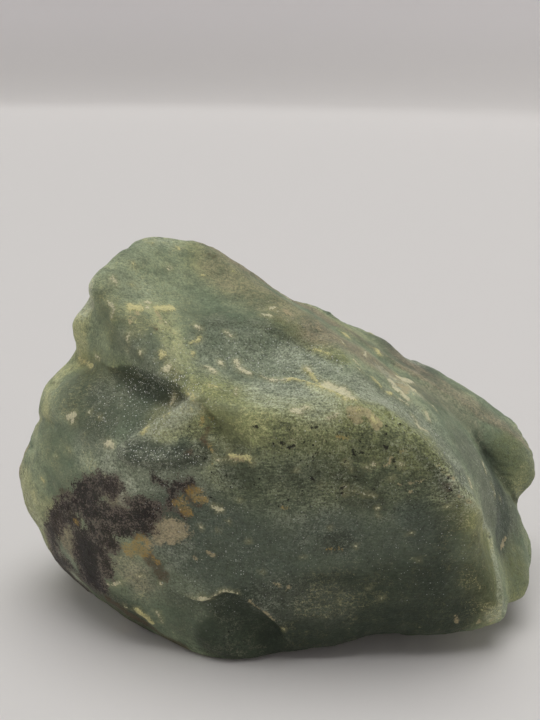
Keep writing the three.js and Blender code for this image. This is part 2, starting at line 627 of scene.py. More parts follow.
# Each row: its name, its width, and its paths as spots of the camera's frame.
MARKS = {
    Mark.STAIN: (
        ("head", 4, (80, 492, 90, 487, 104, 484, 114, 486)),
        ("brow", 2, (60, 501, 68, 496), (98, 484, 118, 486), (119, 489, 112, 496)),
        ("left", 4, (62, 508, 76, 505, 92, 500), (60, 516, 74, 520)),
        ("rim", 4.4, (60, 512, 54, 526, 52, 540, 58, 556, 66, 574, 78, 590)),
        ("heart", 4.6, (88, 514, 104, 514, 118, 520, 132, 518, 148, 512)),
        ("right", 3.6, (118, 530, 132, 526, 148, 526), (92, 528, 106, 530)),
        ("link", 3, (132, 503, 146, 504, 158, 508), (100, 538, 86, 540)),
        ("low", 7.4, (86, 548, 88, 562, 92, 576)),
        ("low right", 3.6, (100, 536, 112, 544), (98, 545, 104, 558, 106, 572), (60, 558, 68, 564)),
        ("toe", 3.6, (84, 580, 91, 587)),
        ("branch", 1.6, (155, 477, 163, 484, 172, 487), (172, 494, 168, 503, 176, 508, 185, 514)),
        ("branch head", 2.3, (176, 485, 190, 485), (172, 488, 174, 496)),
    ),
    Mark.UMBER: (
        ("buttress brown", 0.5, (155, 328, 155, 332)),
        ("crown brown", 0.1, (208, 254, 214, 257, 220, 256), (171, 251, 172, 255), (189, 243, 191, 245)),
        ("crown left brown", 0.4, (107, 269, 110, 267)),
        ("front brown", 0.6, (203, 438, 206, 443), (188, 454, 192, 452), (208, 428, 207, 433)),
        ("foot brown", 2, (150, 558, 156, 566, 162, 576)),
        ("margin brown", 0.6, (444, 484, 449, 489)),
        ("gold right shade", 0.8, (186, 494, 191, 500), (194, 505, 200, 506)),
        ("brown film", 1.6, (64, 492, 74, 498), (60, 500, 66, 506)),
        ("stain edge film", 1.8, (46, 536, 49, 552, 57, 566)),
        ("foot film", 1.6, (108, 598, 124, 610, 144, 624, 164, 637, 186, 648)),
    ),
    Mark.RUST: (
        ("crust gold", 0.2, (211, 446, 213, 450), (211, 461, 212, 463)),
        ("gold seam", 0.1, (203, 412, 204, 418, 203, 424), (211, 416, 213, 421)),
        ("gold dash", 0.15, (282, 507, 287, 509), (340, 437, 348, 438)),
        ("cheek gold", 0.3, (390, 393), (425, 439), (403, 449)),
        ("foot smear", 0.15, (328, 550, 333, 549), (338, 549, 342, 550)),
        ("gold right", 1.3, (192, 490, 199, 492), (197, 498, 202, 500)),
        ("gold left", 1.3, (183, 500, 179, 503), (184, 508, 188, 512)),
        ("gold spots", 0.6, (76, 521), (158, 562), (154, 557)),
        ("gold stain", 2.2, (137, 547, 143, 551)),
        ("gold stain edge", 1.4, (126, 547, 131, 553), (141, 537, 146, 540)),
    ),
    Mark.TAN: (
        ("crown flakes", 0.7, (286, 311, 289, 314), (318, 321, 319, 330)),
        ("pink", 3.4, (160, 529, 168, 526, 176, 526), (160, 535, 170, 534, 180, 530)),
        ("pink tail", 1.6, (152, 537, 148, 543)),
    ),
    Mark.BUFF: (
        ("patch streaks", 0.5, (130, 312, 131, 322), (137, 311, 137, 318), (158, 314, 160, 324)),
        ("front crust shade", 0.7, (232, 456, 244, 458)),
        ("front faint", 0.6, (194, 556, 197, 559), (208, 553, 215, 556)),
        ("chin rim", 0.4, (250, 598, 257, 603, 265, 608, 274, 616)),
        ("cheek crust edge", 1.2, (399, 384, 407, 388, 402, 394)),
        ("bevel crust", 1.1,
            (350, 411, 358, 412, 366, 415), (368, 417, 374, 421, 377, 426), (352, 418, 358, 420)),
        ("bevel flag", 0.5, (391, 458, 389, 463, 386, 465)),
        ("margin tan", 0.2, (437, 463, 441, 470, 446, 475, 450, 478)),
        ("margin cream", 0.4, (466, 500, 468, 502), (457, 494, 459, 496)),
        ("front small cream", 0.3, (418, 481, 424, 480), (409, 482, 413, 482)),
        ("front pink", 0.3, (410, 491), (399, 483)),
        ("front smear", 0.3, (275, 582, 279, 585), (286, 590, 289, 586)),
        ("lower cheek cream", 0.6, (506, 537, 504, 543, 502, 548)),
        ("foot rim dots", 0.5, (455, 616, 457, 622), (478, 623, 480, 621), (491, 621)),
    ),
    Mark.CREAM: (
        ("crown white ovals", 0.7, (167, 269, 170, 267), (113, 281, 115, 285)),
        ("pale ring", 0.3, (109, 302, 113, 305, 114, 311, 113, 316)),
        ("patch middle", 0.5, (146, 303, 149, 303), (147, 307, 147, 310)),
        ("buttress white", 0.3, (164, 322, 167, 328), (130, 335, 131, 341)),
        ("buttress dots", 0.4, (144, 352), (129, 349), (101, 357, 97, 356)),
        ("buttress", 0.7, (168, 368, 171, 369)),
        ("corner hook", 0.3, (196, 327, 199, 328, 200, 331)),
        ("shelf", 0.7, (204, 368, 208, 369, 214, 373), (220, 363, 221, 365)),
        ("shelf curl", 0.65, (236, 362, 239, 368, 244, 372, 250, 374)),
        ("shelf ticks", 0.3, (237, 388, 235, 394), (226, 332, 231, 336)),
        ("shelf line", 0.3, (261, 376, 268, 379, 278, 380, 287, 381)),
        ("line head", 0.6, (305, 368, 311, 372)),
        ("shelf lip", 0.7, (292, 410, 299, 411, 306, 408)),
        ("crown flakes", 0.5, (262, 316, 269, 317), (271, 309, 276, 308)),
        ("valley drop", 0.45, (174, 394, 172, 398, 170, 403)),
        ("lobe", 0.9, (70, 417, 75, 416, 74, 421)),
        ("bite", 0.8, (106, 445, 109, 442, 111, 446)),
        ("lobe dots", 0.35, (90, 412), (57, 457), (69, 450), (99, 417)),
        ("front crust thread", 0.05, (214, 461, 220, 459, 228, 459, 234, 461)),
        ("front white", 0.55, (213, 507, 217, 509, 222, 508)),
        ("chin line", 0.16,
            (190, 593, 196, 595, 202, 597, 208, 598), (213, 594, 219, 591, 226, 588, 232, 589, 238, 591)),
        ("chin leaf", 0.9, (203, 596, 209, 597)),
        ("foot white", 0.4, (157, 612, 160, 617, 162, 622)),
        ("foot lines", 0.35, (109, 583, 115, 584, 120, 582), (138, 577, 141, 576)),
        ("foot dots", 0.4, (161, 584), (126, 606), (105, 477)),
        ("brow tan small", 0.5, (341, 341, 345, 345), (365, 352, 365, 356), (362, 342)),
        ("brow white", 0.3, (354, 359, 358, 363), (358, 368, 361, 371)),
        ("cheek crust", 1.8,
            (400, 378, 409, 381), (396, 388, 400, 391), (410, 388, 413, 390), (393, 382), (405, 398)),
        ("mound crust", 1.5,
            (326, 383, 333, 386), (334, 391, 341, 394), (340, 388, 346, 392), (344, 397, 350, 399)),
        ("cheek streaks", 0.35, (399, 400, 406, 404), (433, 405, 437, 410)),
        ("cheek flakes", 0.45, (413, 416, 417, 421, 419, 427), (425, 414, 429, 420), (420, 428, 427, 431)),
        ("bevel dash", 0.3, (329, 418, 337, 415), (401, 464, 402, 465)),
        ("bevel white", 0.2, (365, 467, 368, 468), (373, 464, 375, 464), (346, 463, 348, 463)),
        ("front white dots", 0.16,
            (345, 487), (321, 485), (378, 508), (379, 516), (368, 588), (381, 597), (201, 527), (218, 530),
            (249, 541), (391, 478), (447, 506), (302, 556), (374, 462), (352, 470), (229, 520), (185, 536),
            (262, 572), (330, 528), (410, 532), (296, 470), (356, 545), (340, 600), (418, 560), (240, 500)),
        ("front thread", 0.02, (345, 494, 350, 491, 356, 491, 364, 494, 374, 496)),
        ("cheek drops", 0.45, (482, 462, 484, 467, 486, 472), (493, 490, 495, 494)),
        ("cheek drops small", 0.35, (468, 478, 471, 488), (500, 498), (491, 484)),
    ),
    Mark.YELLOW: (
        ("crown bars", 0.7, (144, 242, 151, 244), (170, 240, 182, 241)),
        ("crown dots", 0.7, (178, 249), (202, 276), (133, 267)),
        ("crown small dots", 0.4, (196, 268), (233, 271), (131, 285, 137, 286)),
        ("patch left", 1.3, (131, 307, 139, 308)),
        ("patch right", 1.3, (157, 309, 164, 309, 171, 308)),
        ("buttress tan", 0.7, (161, 354, 164, 358)),
        ("corner", 0.45, (190, 343, 194, 342, 199, 340, 200, 336), (193, 353, 193, 358)),
        ("corner fold", 0.3, (190, 392, 196, 396, 200, 400)),
        ("shelf bar", 0.5, (208, 386, 213, 386, 217, 387)),
        ("line", 0.55,
            (287, 381, 296, 382, 304, 384, 312, 387, 320, 389, 328, 392, 334, 395, 340, 399, 346, 401,
            354, 402), (305, 369, 310, 373, 315, 378, 320, 384, 326, 390)),
        ("lip line", 0.4, (314, 351, 324, 353, 331, 356)),
        ("lobe", 0.5, (43, 478, 45, 482)),
        ("notch line", 0.45, (74, 356, 80, 361, 86, 364, 90, 365)),
        ("spur", 0.3, (143, 434, 150, 427), (165, 418, 172, 413)),
        ("front crust", 0.3,
            (229, 453, 235, 455, 241, 456, 247, 457, 252, 459), (231, 451, 233, 456), (246, 458, 252, 462)),
        ("chin dot", 0.5, (283, 625)),
        ("foot", 0.85, (137, 609, 141, 614, 147, 618, 152, 623)),
        ("brow tan", 0.9, (343, 334, 347, 337), (375, 351, 378, 355)),
        ("cheek bar", 0.5, (372, 378, 377, 382, 381, 387)),
        ("cheek crust dots", 0.6, (387, 393, 390, 394), (414, 391), (396, 372)),
        ("bevel crust light", 0.4, (352, 411, 358, 411), (370, 418, 375, 423)),
    ),
    Mark.SPECK: (
        ("black chips", 0.5, (254, 427, 256, 427), (315, 427, 317, 426), (320, 425)),
        ("black crust", 0.5,
            (281, 443, 284, 442), (288, 439, 291, 438), (286, 443), (288, 447, 290, 448), (293, 446),
            (312, 427, 314, 427), (318, 425), (385, 446, 387, 448), (363, 447)),
        ("black dots", 0.42,
            (386, 424), (328, 441), (360, 441), (354, 450, 354, 454), (359, 452, 363, 453),
            (371, 448, 374, 448), (304, 453), (317, 453), (300, 460), (302, 495), (420, 486),
            (340, 433, 344, 434), (393, 459, 392, 462), (192, 426), (330, 462), (374, 490), (266, 447),
            (346, 462), (356, 478), (362, 482), (341, 489), (318, 473), (326, 479), (280, 478)),
        ("black smudges", 0.42,
            (311, 478, 315, 482), (348, 492, 353, 493), (211, 497, 215, 499), (337, 494, 342, 494),
            (350, 476, 354, 478), (357, 482), (346, 485), (341, 480), (360, 477), (352, 487)),
        ("margin black", 0.55, (438, 480, 441, 481), (444, 483), (449, 487, 452, 490), (446, 478)),
    ),
}

# Each row: its name, its width, its fade, its strength, its lean, and its paths.
WASHES = {
    Tone.HAZE: (
        ("crown", 1.5, 2, 0.15, 0, (120, 288, 145, 290)),
        ("crown left", 1.5, 2.5, 0.5, 0, (106, 280, 122, 288, 136, 291)),
        ("bite", 1.6, 2, 0.8, 0, (84, 452, 98, 458, 116, 462)),
        ("bite edge", 0.4, 1.2, 0.9, 0, (96, 449, 112, 447, 124, 450)),
        ("lobe", 1.2, 2.2, 0.4, 0, (56, 382, 64, 394, 60, 412), (104, 384, 118, 394)),
        ("spur", 0.5, 1.4, 0.8, 1, (134, 438, 150, 429, 166, 419, 184, 406, 194, 400)),
        ("spur face", 1, 1.4, 0.35, 0, (166, 430, 184, 418, 194, 412)),
        ("spur head", 1, 1.2, 1.4, 0, (176, 417, 186, 410, 194, 405)),
        ("shelf", 1.8, 2.5, 1.1, 0, (270, 395, 290, 396, 320, 400)),
        ("shelf mound", 0.8, 1, 1, 0, (328, 388, 340, 391, 350, 396), (360, 396, 385, 404)),
        ("shelf back", 1.5, 2, 0.8, 0, (290, 360, 330, 374), (340, 380, 365, 388)),
        ("cheek", 1.5, 3, 0.6, 0, (400, 408, 436, 428), (450, 462, 458, 486)),
        ("cheek crust", 1.2, 1.4, 1, 0, (386, 372, 396, 382), (402, 386, 412, 390)),
        ("foot", 1.4, 1.6, 0.4, 0, (112, 552, 124, 566, 142, 588)),
        ("stain fuzz", 0.8, 1, 1.2, 0, (124, 488, 127, 500), (128, 486, 131, 490)),
        ("tan fuzz", 1.2, 1.6, 0.5, 0, (158, 548, 168, 556), (172, 540, 180, 548)),
        ("front", 2, 3, 0.45, 0, (150, 470, 180, 472, 205, 474), (280, 600, 330, 606)),
        ("front middle", 2, 4, 0.25, 0, (290, 480, 310, 510, 330, 545)),
        ("front top", 1.5, 2.5, 0.2, 0, (310, 502, 340, 502)),
        ("notch", 0.8, 1, 1.8, 0, (92, 290, 88, 300, 83, 310)),
        ("low corner", 0.8, 1.2, 1.1, 0, (494, 616, 502, 610)),
    ),
    # Painted shade in creases, valleys, troughs, under ledges and along the foot and front near the floor;
    # the smudge row is a dark smudge.
    Tone.DEEP: (
        ("cheek", 3.5, 4, 0.36, 0, (446, 414, 470, 450, 490, 500), (518, 468, 524, 490)),
        ("low cheek", 2, 3, 0.5, 0, (508, 505, 512, 530, 514, 560)),
        ("lobe", 0.8, 2, 0.38, 0, (106, 306, 110, 322, 116, 340)),
        ("trough", 0.3, 1.4, 0.35, 1, (124, 312, 127, 330, 134, 340, 148, 352, 164, 368, 180, 386)),
        ("trough facet", 1.6, 1.4, 0.45, 0, (136, 328, 142, 344, 152, 358, 164, 374)),
        ("buttress right", 0.8, 1.6, 0.3, 0, (190, 304, 188, 318, 192, 326)),
        ("valley wall", 1.2, 2.4, 1, 1, (124, 368, 136, 369, 152, 374, 168, 381, 180, 389)),
        ("valley start", 0.4, 1.6, 0.5, 1, (92, 363, 112, 367, 130, 373)),
        ("valley heart", 1, 1.6, 0.9, 0, (136, 382, 150, 386, 166, 391)),
        ("valley floor", 1.5, 2.6, 0.5, 0, (120, 400, 146, 412, 160, 408)),
        ("valley left", 2.6, 3, 0.65, 0, (86, 388, 92, 402, 94, 420)),
        ("lobe middle", 2.2, 2.6, 0.35, 0, (54, 436, 62, 456, 66, 474)),
        ("spur foot", 0.9, 1.2, 1, 0, (130, 452, 150, 456, 176, 458, 200, 453)),
        ("spur side", 0.3, 1.4, 0.5, -1, (134, 436, 150, 427, 166, 417, 176, 410)),
        ("groove", 0.1, 0.7, 0.5, 1, (203, 401, 208, 408, 214, 418, 222, 430, 230, 440)),
        ("groove low", 0.7, 1.4, 0.5, 0, (220, 430, 228, 440, 238, 450)),
        ("lip", 0.2, 2.2, 0.38, -1, (212, 325, 228, 323, 246, 323, 264, 327, 286, 336, 304, 346)),
        ("lip green", 0.8, 1.6, 0.45, 0, (200, 316, 214, 318, 226, 316)),
        ("far", 0.3, 1.2, 0.6, 0, (477, 434, 484, 446)),
        ("far shade", 2, 3.5, 0.35, 0, (500, 446, 515, 470, 520, 486), (508, 506, 518, 522, 516, 548)),
        ("chin ledge", 0.5, 2.6, 0.9, 1,
            (214, 596, 224, 592, 237, 592, 250, 600, 262, 608, 275, 619, 286, 636)),
        ("chin", 2.4, 2.4, 1, 0, (236, 618, 248, 624, 262, 638), (222, 640, 276, 648)),
        ("chin left", 1.2, 1.8, 0.4, 0, (180, 600, 186, 628)),
        ("crust", 1, 1.6, 0.6, 0, (222, 448, 235, 449), (232, 466, 245, 478)),
        ("smudge", 0.6, 1.8, 0.7, 0, (342, 478, 360, 478), (333, 543, 340, 541), (350, 496, 374, 502)),
        ("foot", 2.6, 2.4, 1, 0, (98, 594, 108, 602, 124, 614, 146, 632, 176, 650, 210, 658)),
        ("front low", 4, 6, 1, 0, (300, 642, 350, 622, 400, 606, 440, 600)),
        ("margin", 0.3, 1.4, 0.7, 1, (420, 452, 436, 468, 448, 486)),
        ("bevel low", 2.5, 3, 0.45, 0, (300, 460, 340, 466, 390, 464)),
        ("bevel middle", 1.2, 2, 0.6, 0, (322, 466, 344, 470), (448, 520, 452, 545)),
        ("front foot", 3.2, 3, 1.1, 0, (262, 612, 300, 606, 350, 600)),
        ("lobe line", 0.2, 0.9, 0.9, 1, (478, 438, 488, 452, 500, 467, 509, 484, 517, 499)),
        ("front right", 1.5, 3, 0.4, 0, (436, 540, 440, 580)),
        ("margin middle", 1, 1.8, 0.6, 0, (474, 544, 480, 555, 482, 566), (448, 556, 456, 560)),
        ("brow", 1.5, 3, 0.25, 0, (328, 322, 360, 338, 390, 350)),
    ),
    Tone.OLIVE: (
        ("crown right", 2.5, 4, 0.6, 0, (215, 256, 250, 282, 290, 308)),
        ("trough", 1, 2.5, 0.4, 0, (104, 296, 112, 330)),
        ("valley", 1, 2, 0.5, 0, (84, 362, 104, 368, 125, 372)),
        ("bevel", 2.4, 3, 0.9, 0, (206, 406, 240, 414, 290, 424, 340, 432), (350, 436, 400, 440, 428, 452)),
        ("bevel low", 2.2, 3.5, 0.6, 0, (230, 470, 300, 476, 360, 482, 420, 478)),
        ("lip", 0.6, 1.2, 0.8, 0, (280, 322, 300, 334, 316, 346, 340, 358)),
        ("foot", 1.2, 1.5, 0.8, 0, (104, 600, 130, 620, 160, 642)),
        # The margin row is painted glow along the thin right ridge.
        ("margin", 1, 4, 0.9, 1, (452, 486, 470, 502, 480, 520, 487, 545, 492, 575, 495, 610)),
        ("right foot", 1.5, 3, 0.6, 0, (450, 612, 480, 612), (480, 570, 484, 600)),
        ("far", 1.5, 3, 0.7, 0, (510, 452, 520, 480), (514, 560, 516, 590)),
    ),
    # Partly a yellow-green tone, partly painted glow of light through thin rims and edges.
    Tone.STRAW: (
        ("spur face", 1.8, 1.8, 1.1, 0, (170, 420, 184, 410, 200, 404), (204, 416, 212, 430)),
        ("groove", 1.2, 2.2, 1, 0, (206, 414, 226, 422, 250, 426, 280, 427)),
        ("shelf mound", 0.9, 1, 1.2, 0, (322, 388, 334, 392, 346, 397)),
        ("buttress", 0.9, 1.3, 0.75, 0, (160, 314, 168, 334, 176, 352, 184, 372, 192, 390)),
        ("buttress left", 0.7, 1.1, 0.6, 0, (132, 314, 138, 328)),
        ("bevel", 1.3, 1.8, 0.7, 0,
            (200, 398, 240, 408, 290, 414, 340, 412, 372, 416), (206, 414, 214, 420)),
        ("corner", 1, 1.8, 0.6, 0, (190, 388, 215, 392, 240, 396)),
        ("cheek", 0.8, 1.6, 0.6, 0, (385, 418, 405, 432, 420, 446)),
        ("rim", 1, 1.2, 0.7, 0, (308, 306, 325, 314, 345, 324)),
        ("lobe", 0.6, 1.6, 0.8, 0, (46, 408, 52, 388, 62, 372, 74, 360), (78, 352, 78, 330, 86, 312)),
        ("notch", 1.2, 1.4, 1, 0, (92, 288, 88, 300, 82, 312), (77, 322, 78, 345)),
        ("left rim", 2.2, 2.6, 0.9, 0, (26, 490, 34, 510, 44, 533)),
        ("left lobe", 1, 2, 0.25, 0, (26, 474, 30, 456)),
        ("margin", 1, 2, 0.95, 1, (458, 494, 468, 504, 478, 518, 486, 534)),
        ("margin low", 1, 2, 0.8, 1, (480, 584, 488, 598, 493, 612)),
        ("far band", 3, 4, 0.4, -1, (350, 330, 372, 340, 396, 356)),
    ),
    Tone.SLATE: (
        ("shelf", 3, 2.4, 0.9, 0, (222, 346, 270, 352, 310, 366), (225, 370, 300, 396)),
        ("valley", 2.5, 3, 0.6, 0, (110, 400, 140, 410, 160, 404), (110, 415, 130, 425)),
        ("bite", 2.5, 2.5, 0.8, 0, (150, 448, 190, 444), (120, 470, 150, 474, 190, 474)),
        ("trough", 1.5, 2, 0.6, 0, (128, 345, 145, 360, 160, 372)),
        ("cheek", 4, 4, 0.9, 0, (370, 400, 410, 425, 450, 470), (480, 470, 500, 500)),
        ("front", 5, 6, 0.8, 0, (200, 500, 280, 510, 380, 510), (200, 560, 240, 570)),
    ),
    # Partly darker colour, partly painted shade over the front, the foot and the chin near the floor.
    Tone.DUSK: (
        ("foot", 3, 4, 0.5, 0, (150, 606, 200, 626, 230, 640)),
        ("front", 4, 4, 0.7, 0, (376, 560, 410, 550), (350, 600, 400, 590)),
        ("front left", 5, 5, 0.76, 0, (200, 532, 240, 555, 280, 575), (270, 600, 330, 555)),
        ("front foot", 2, 4, 1, 0, (290, 640, 340, 632, 440, 620)),
        ("bevel", 2, 3, 0.5, 0, (240, 486, 300, 490), (390, 506, 430, 500)),
        ("cheek", 1.4, 1.5, 0.75, 0, (486, 462, 493, 476, 500, 496, 504, 515, 500, 540)),
        ("front right", 1, 3.2, 0.85, 0, (412, 512, 430, 550, 430, 600)),
        ("stain", 3, 3, 0.3, 0, (60, 530, 80, 560), (60, 505, 100, 500)),
        ("chin", 2, 3, 0.35, 0, (180, 580, 200, 575)),
    ),
    Tone.BLUSH: (
        ("crown right", 3, 4, 0.5, 0, (232, 268, 262, 290, 300, 312)),
        ("crown", 0.6, 2, 0.8, 0, (205, 243, 235, 262, 270, 283, 300, 302, 340, 328, 380, 352, 410, 372)),
        ("ridge", 1.8, 3.2, 0.75, -1,
            (410, 375, 426, 384, 450, 396, 466, 408, 480, 418, 496, 426, 514, 440)),
        ("cheek back", 1.5, 3, 0.5, 0, (414, 388, 440, 398, 466, 414)),
        ("rim", 0.8, 2, 0.6, 0, (400, 356, 440, 382, 465, 398, 492, 418, 515, 436)),
        ("brow", 1.5, 3, 0.8, 0, (320, 330, 350, 346, 390, 372)),
        ("foot", 1.4, 1.6, 0.5, 0, (112, 552, 124, 564, 140, 580)),
        ("stain edge", 1, 1.5, 0.9, 0, (60, 524, 66, 536, 70, 546), (112, 492, 118, 502)),
    ),
    Tone.PEPPER: (
        ("bevel", 2, 2.5, 0.8, 0, (290, 440, 330, 446, 370, 452, 400, 446), (330, 478, 410, 470)),
        ("front", 2, 3, 0.8, 0, (240, 470, 320, 486), (400, 480, 440, 484)),
        ("bite", 0.8, 1.5, 0.8, 0, (196, 440, 208, 436), (186, 452, 206, 448)),
    ),
    Tone.GLITTER: (
        ("valley", 2, 2, 1.3, 0, (140, 386, 164, 392, 182, 392)),
        ("valley floor", 2, 2.5, 0.9, 0, (110, 406, 150, 420)),
        ("spur", 0.8, 1.2, 1, 0, (134, 437, 150, 428, 166, 418, 184, 405)),
        ("crease", 0.9, 0.8, 1, 0, (128, 456, 168, 459, 200, 456)),
        ("shelf", 1.4, 2, 0.9, 0, (270, 346, 300, 356, 330, 362), (230, 352, 290, 372)),
        ("corner", 2, 2.5, 0.6, 0, (190, 385, 205, 400), (165, 345, 180, 375)),
        ("cheek", 2, 3, 0.8, 0, (400, 415, 430, 435, 440, 450, 460, 480), (480, 460, 494, 494)),
        ("front", 5, 5, 0.42, 0, (190, 510, 230, 540, 220, 560)),
        ("front faint", 5, 5, 0.38, 0,
            (280, 530, 340, 520), (200, 575, 260, 580), (280, 340, 320, 400), (385, 520, 430, 560)),
    ),
    Tone.WORN: (
        ("ridge", 0.15, 0.7, 1.1, 0,
            (447, 478, 452, 485, 456, 492, 464, 498, 471, 503, 477, 510, 482, 520, 487, 532, 490, 546,
            493, 562, 496, 578, 498, 594, 500, 610)),
        ("corner", 0.3, 0.8, 0.5, 0, (190, 398, 204, 402, 230, 406, 262, 408)),
    ),
}

LAID = (
    *(
        Laid(name, kind, width, tuple(paths))
        for kind, rows in MARKS.items()
        for name, width, *paths in rows
    ),
    *(
        Laid(name, kind, width, tuple(paths), fade, strength, lean)
        for kind, rows in WASHES.items()
        for name, width, fade, strength, lean, *paths in rows
    ),
)

# Each row: its name, its rise, its reach, its lean, and its paths.
RELIEFS = tuple(
    Relief(name, rise, reach, lean, tuple(paths))
    for name, rise, reach, lean, *paths in (
        ("crown notch", -0.5, 0.9, 0, (90, 305, 98, 302, 106, 296)),
        ("lobe notch", -0.6, 1, 0, (72, 357, 80, 361, 90, 364)),
        ("outline notches", -0.45, 0.8, 0,
            (50, 384, 56, 388), (36, 418, 44, 420, 52, 424), (28, 446, 36, 448)),
        ("lobe bulge", 0.6, 3.2, 0, (62, 392, 66, 402), (44, 452, 48, 462)),
        ("crown left bulge", 0.4, 2.2, 0, (96, 286, 102, 292)),
        ("crown corner bulge", 0.8, 3, 0, (110, 270, 124, 258)),
        ("buttress bulge", 0.5, 2.2, 0, (152, 318, 160, 340, 172, 368)),
        ("trough facet", 0.5, 2.4, 1, (124, 330, 136, 344, 152, 358, 172, 378)),
        ("valley wall", 0.6, 2, -1, (110, 366, 130, 372, 150, 378, 170, 385, 188, 396)),
        ("valley heart", -0.7, 2.4, 0, (140, 386, 160, 392, 176, 398)),
        ("spur", 1.1, 2.6, 1, (134, 438, 150, 429, 166, 419, 184, 406, 196, 400)),
        ("spur foot", 0.6, 1.6, -1, (128, 459, 150, 462, 176, 461, 198, 455)),
        ("groove", -0.4, 1, 1, (202, 400, 208, 408, 214, 417, 222, 430, 233, 445)),
        ("corner fold", 0.4, 1.2, -1, (190, 392, 204, 402, 212, 412)),
        ("shelf wall", 0.35, 2.2, -1,
            (214, 325, 228, 323, 246, 323, 264, 327, 286, 336, 304, 346, 328, 357)),
        ("shelf fold", 0.5, 1.4, 1, (296, 381, 312, 386, 328, 392, 342, 399, 354, 403)),
        ("shelf fold foot", -0.4, 0.9, 0, (300, 376, 318, 381, 334, 386, 350, 393)),
        ("shelf curl", 0.3, 0.8, 0, (236, 361, 240, 369, 250, 374)),
        ("shelf waves", 0.2, 0.9, 0,
            (208, 350, 232, 352, 250, 360), (262, 366, 286, 372), (222, 376, 250, 384)),
        ("chin ledge", 0.9, 2.2, -1,
            (192, 595, 203, 598, 213, 595, 223, 590, 236, 590, 250, 599, 262, 607, 275, 618, 286, 636)),
        ("chin hollow", -1, 3, 0, (228, 612, 244, 618, 262, 632)),
        ("crust bump", 0.35, 0.8, 0, (230, 454, 242, 456, 252, 459)),
        ("bevel crust", 0.3, 1.2, 0, (352, 413, 366, 416, 378, 424)),
        ("front smudge", -0.35, 0.8, 0, (331, 545, 342, 543), (344, 480, 356, 482)),
        ("pale ring", 0.3, 0.7, 0, (109, 303, 114, 309, 113, 316)),
        ("bevel margin", 0.5, 1.6, -1, (384, 412, 404, 428, 424, 448, 440, 464, 450, 482)),
        ("ridge line", 0.4, 1.2, -1, (456, 492, 476, 510, 488, 536, 494, 565, 499, 600)),
        ("back ridge", 0.6, 1.4, 1,
            (340, 330, 380, 354, 404, 370, 426, 384, 450, 396, 480, 416, 500, 428, 518, 444)),
        ("low cheek bulge", 0.9, 3, 0, (521, 590)),
        ("low cheek flat", -0.5, 2.4, 0, (531, 546)),
        ("lobe tip", -0.3, 3, 0, (534, 474)),
        ("far crease", -0.5, 1, 1, (488, 452, 498, 468, 508, 488, 515, 500)),
    )
)

STREWN = (
    Strewn(Mark.CREAM, 14, 0.35, 1.6),
    Strewn(Mark.CREAM, 16, 0.6, 0.7),
    Strewn(Mark.CREAM, 3, 1.6, 1.0),
    Strewn(Mark.YELLOW, 12, 0.4, 2.2),
    Strewn(Mark.TAN, 8, 1.6, 3.0),
    Strewn(Mark.RUST, 6, 0.8, 1.8),
    Strewn(Mark.UMBER, 5, 0.8, 1.5),
    Strewn(Mark.SPECK, 24, 0.6, 0.6),
    Strewn(Mark.STAIN, 2, 3.2, 9.0),
    Strewn(Tone.HAZE, 7, 2.0, 6.0, 3.0, 0.8),
    Strewn(Tone.SLATE, 4, 4.0, 8.0, 4.0, 0.9),
    Strewn(Tone.OLIVE, 4, 3.0, 8.0, 4.0, 0.8),
    Strewn(Tone.STRAW, 5, 1.5, 6.0, 2.5, 0.8),
    Strewn(Tone.DEEP, 6, 1.0, 6.0, 2.5, 0.6),
    Strewn(Tone.DUSK, 4, 4.0, 9.0, 4.0, 0.8),
    Strewn(Tone.BLUSH, 3, 2.0, 8.0, 4.0, 0.4),
    Strewn(Tone.PEPPER, 4, 2.0, 5.0, 3.0, 0.9),
    Strewn(Tone.GLITTER, 4, 2.0, 6.0, 3.0, 0.9),
)


# ---------------------------------------------------------------- the nodes of a material


class Shade:
    """One output of a node, on which + - and * add Math nodes."""

    def __init__(self, bench: "Bench", socket: bpy.types.NodeSocket) -> None:
        """Keeps the socket and the bench that it belongs to."""
        self.bench = bench
        self.socket = socket

    def __add__(self, other: "Shade | float") -> "Shade":
        """This plus the other."""
        return self.bench.math("ADD", self, other)

    def __sub__(self, other: "Shade | float") -> "Shade":
        """This less the other."""
        return self.bench.math("SUBTRACT", self, other)

    def __mul__(self, other: "Shade | float") -> "Shade":
        """This times the other."""
        return self.bench.math("MULTIPLY", self, other)

    def __rsub__(self, other: float) -> "Shade":
        """The other less this."""
        return self.bench.math("SUBTRACT", other, self)

    __radd__ = __add__
    __rmul__ = __mul__

    def clipped(self) -> "Shade":
        """This, kept between 0 and 1."""
        return self.bench.node("ShaderNodeClamp", {}, {0: self})

    def rise(self, low: float, high: float) -> "Shade":
        """Zero at low, one at high, smooth between them; low may be the larger."""
        values = {0: self, 1: low, 2: high, 3: 0.0, 4: 1.0}
        return self.bench.node("ShaderNodeMapRange", {"interpolation_type": "SMOOTHSTEP"}, values)


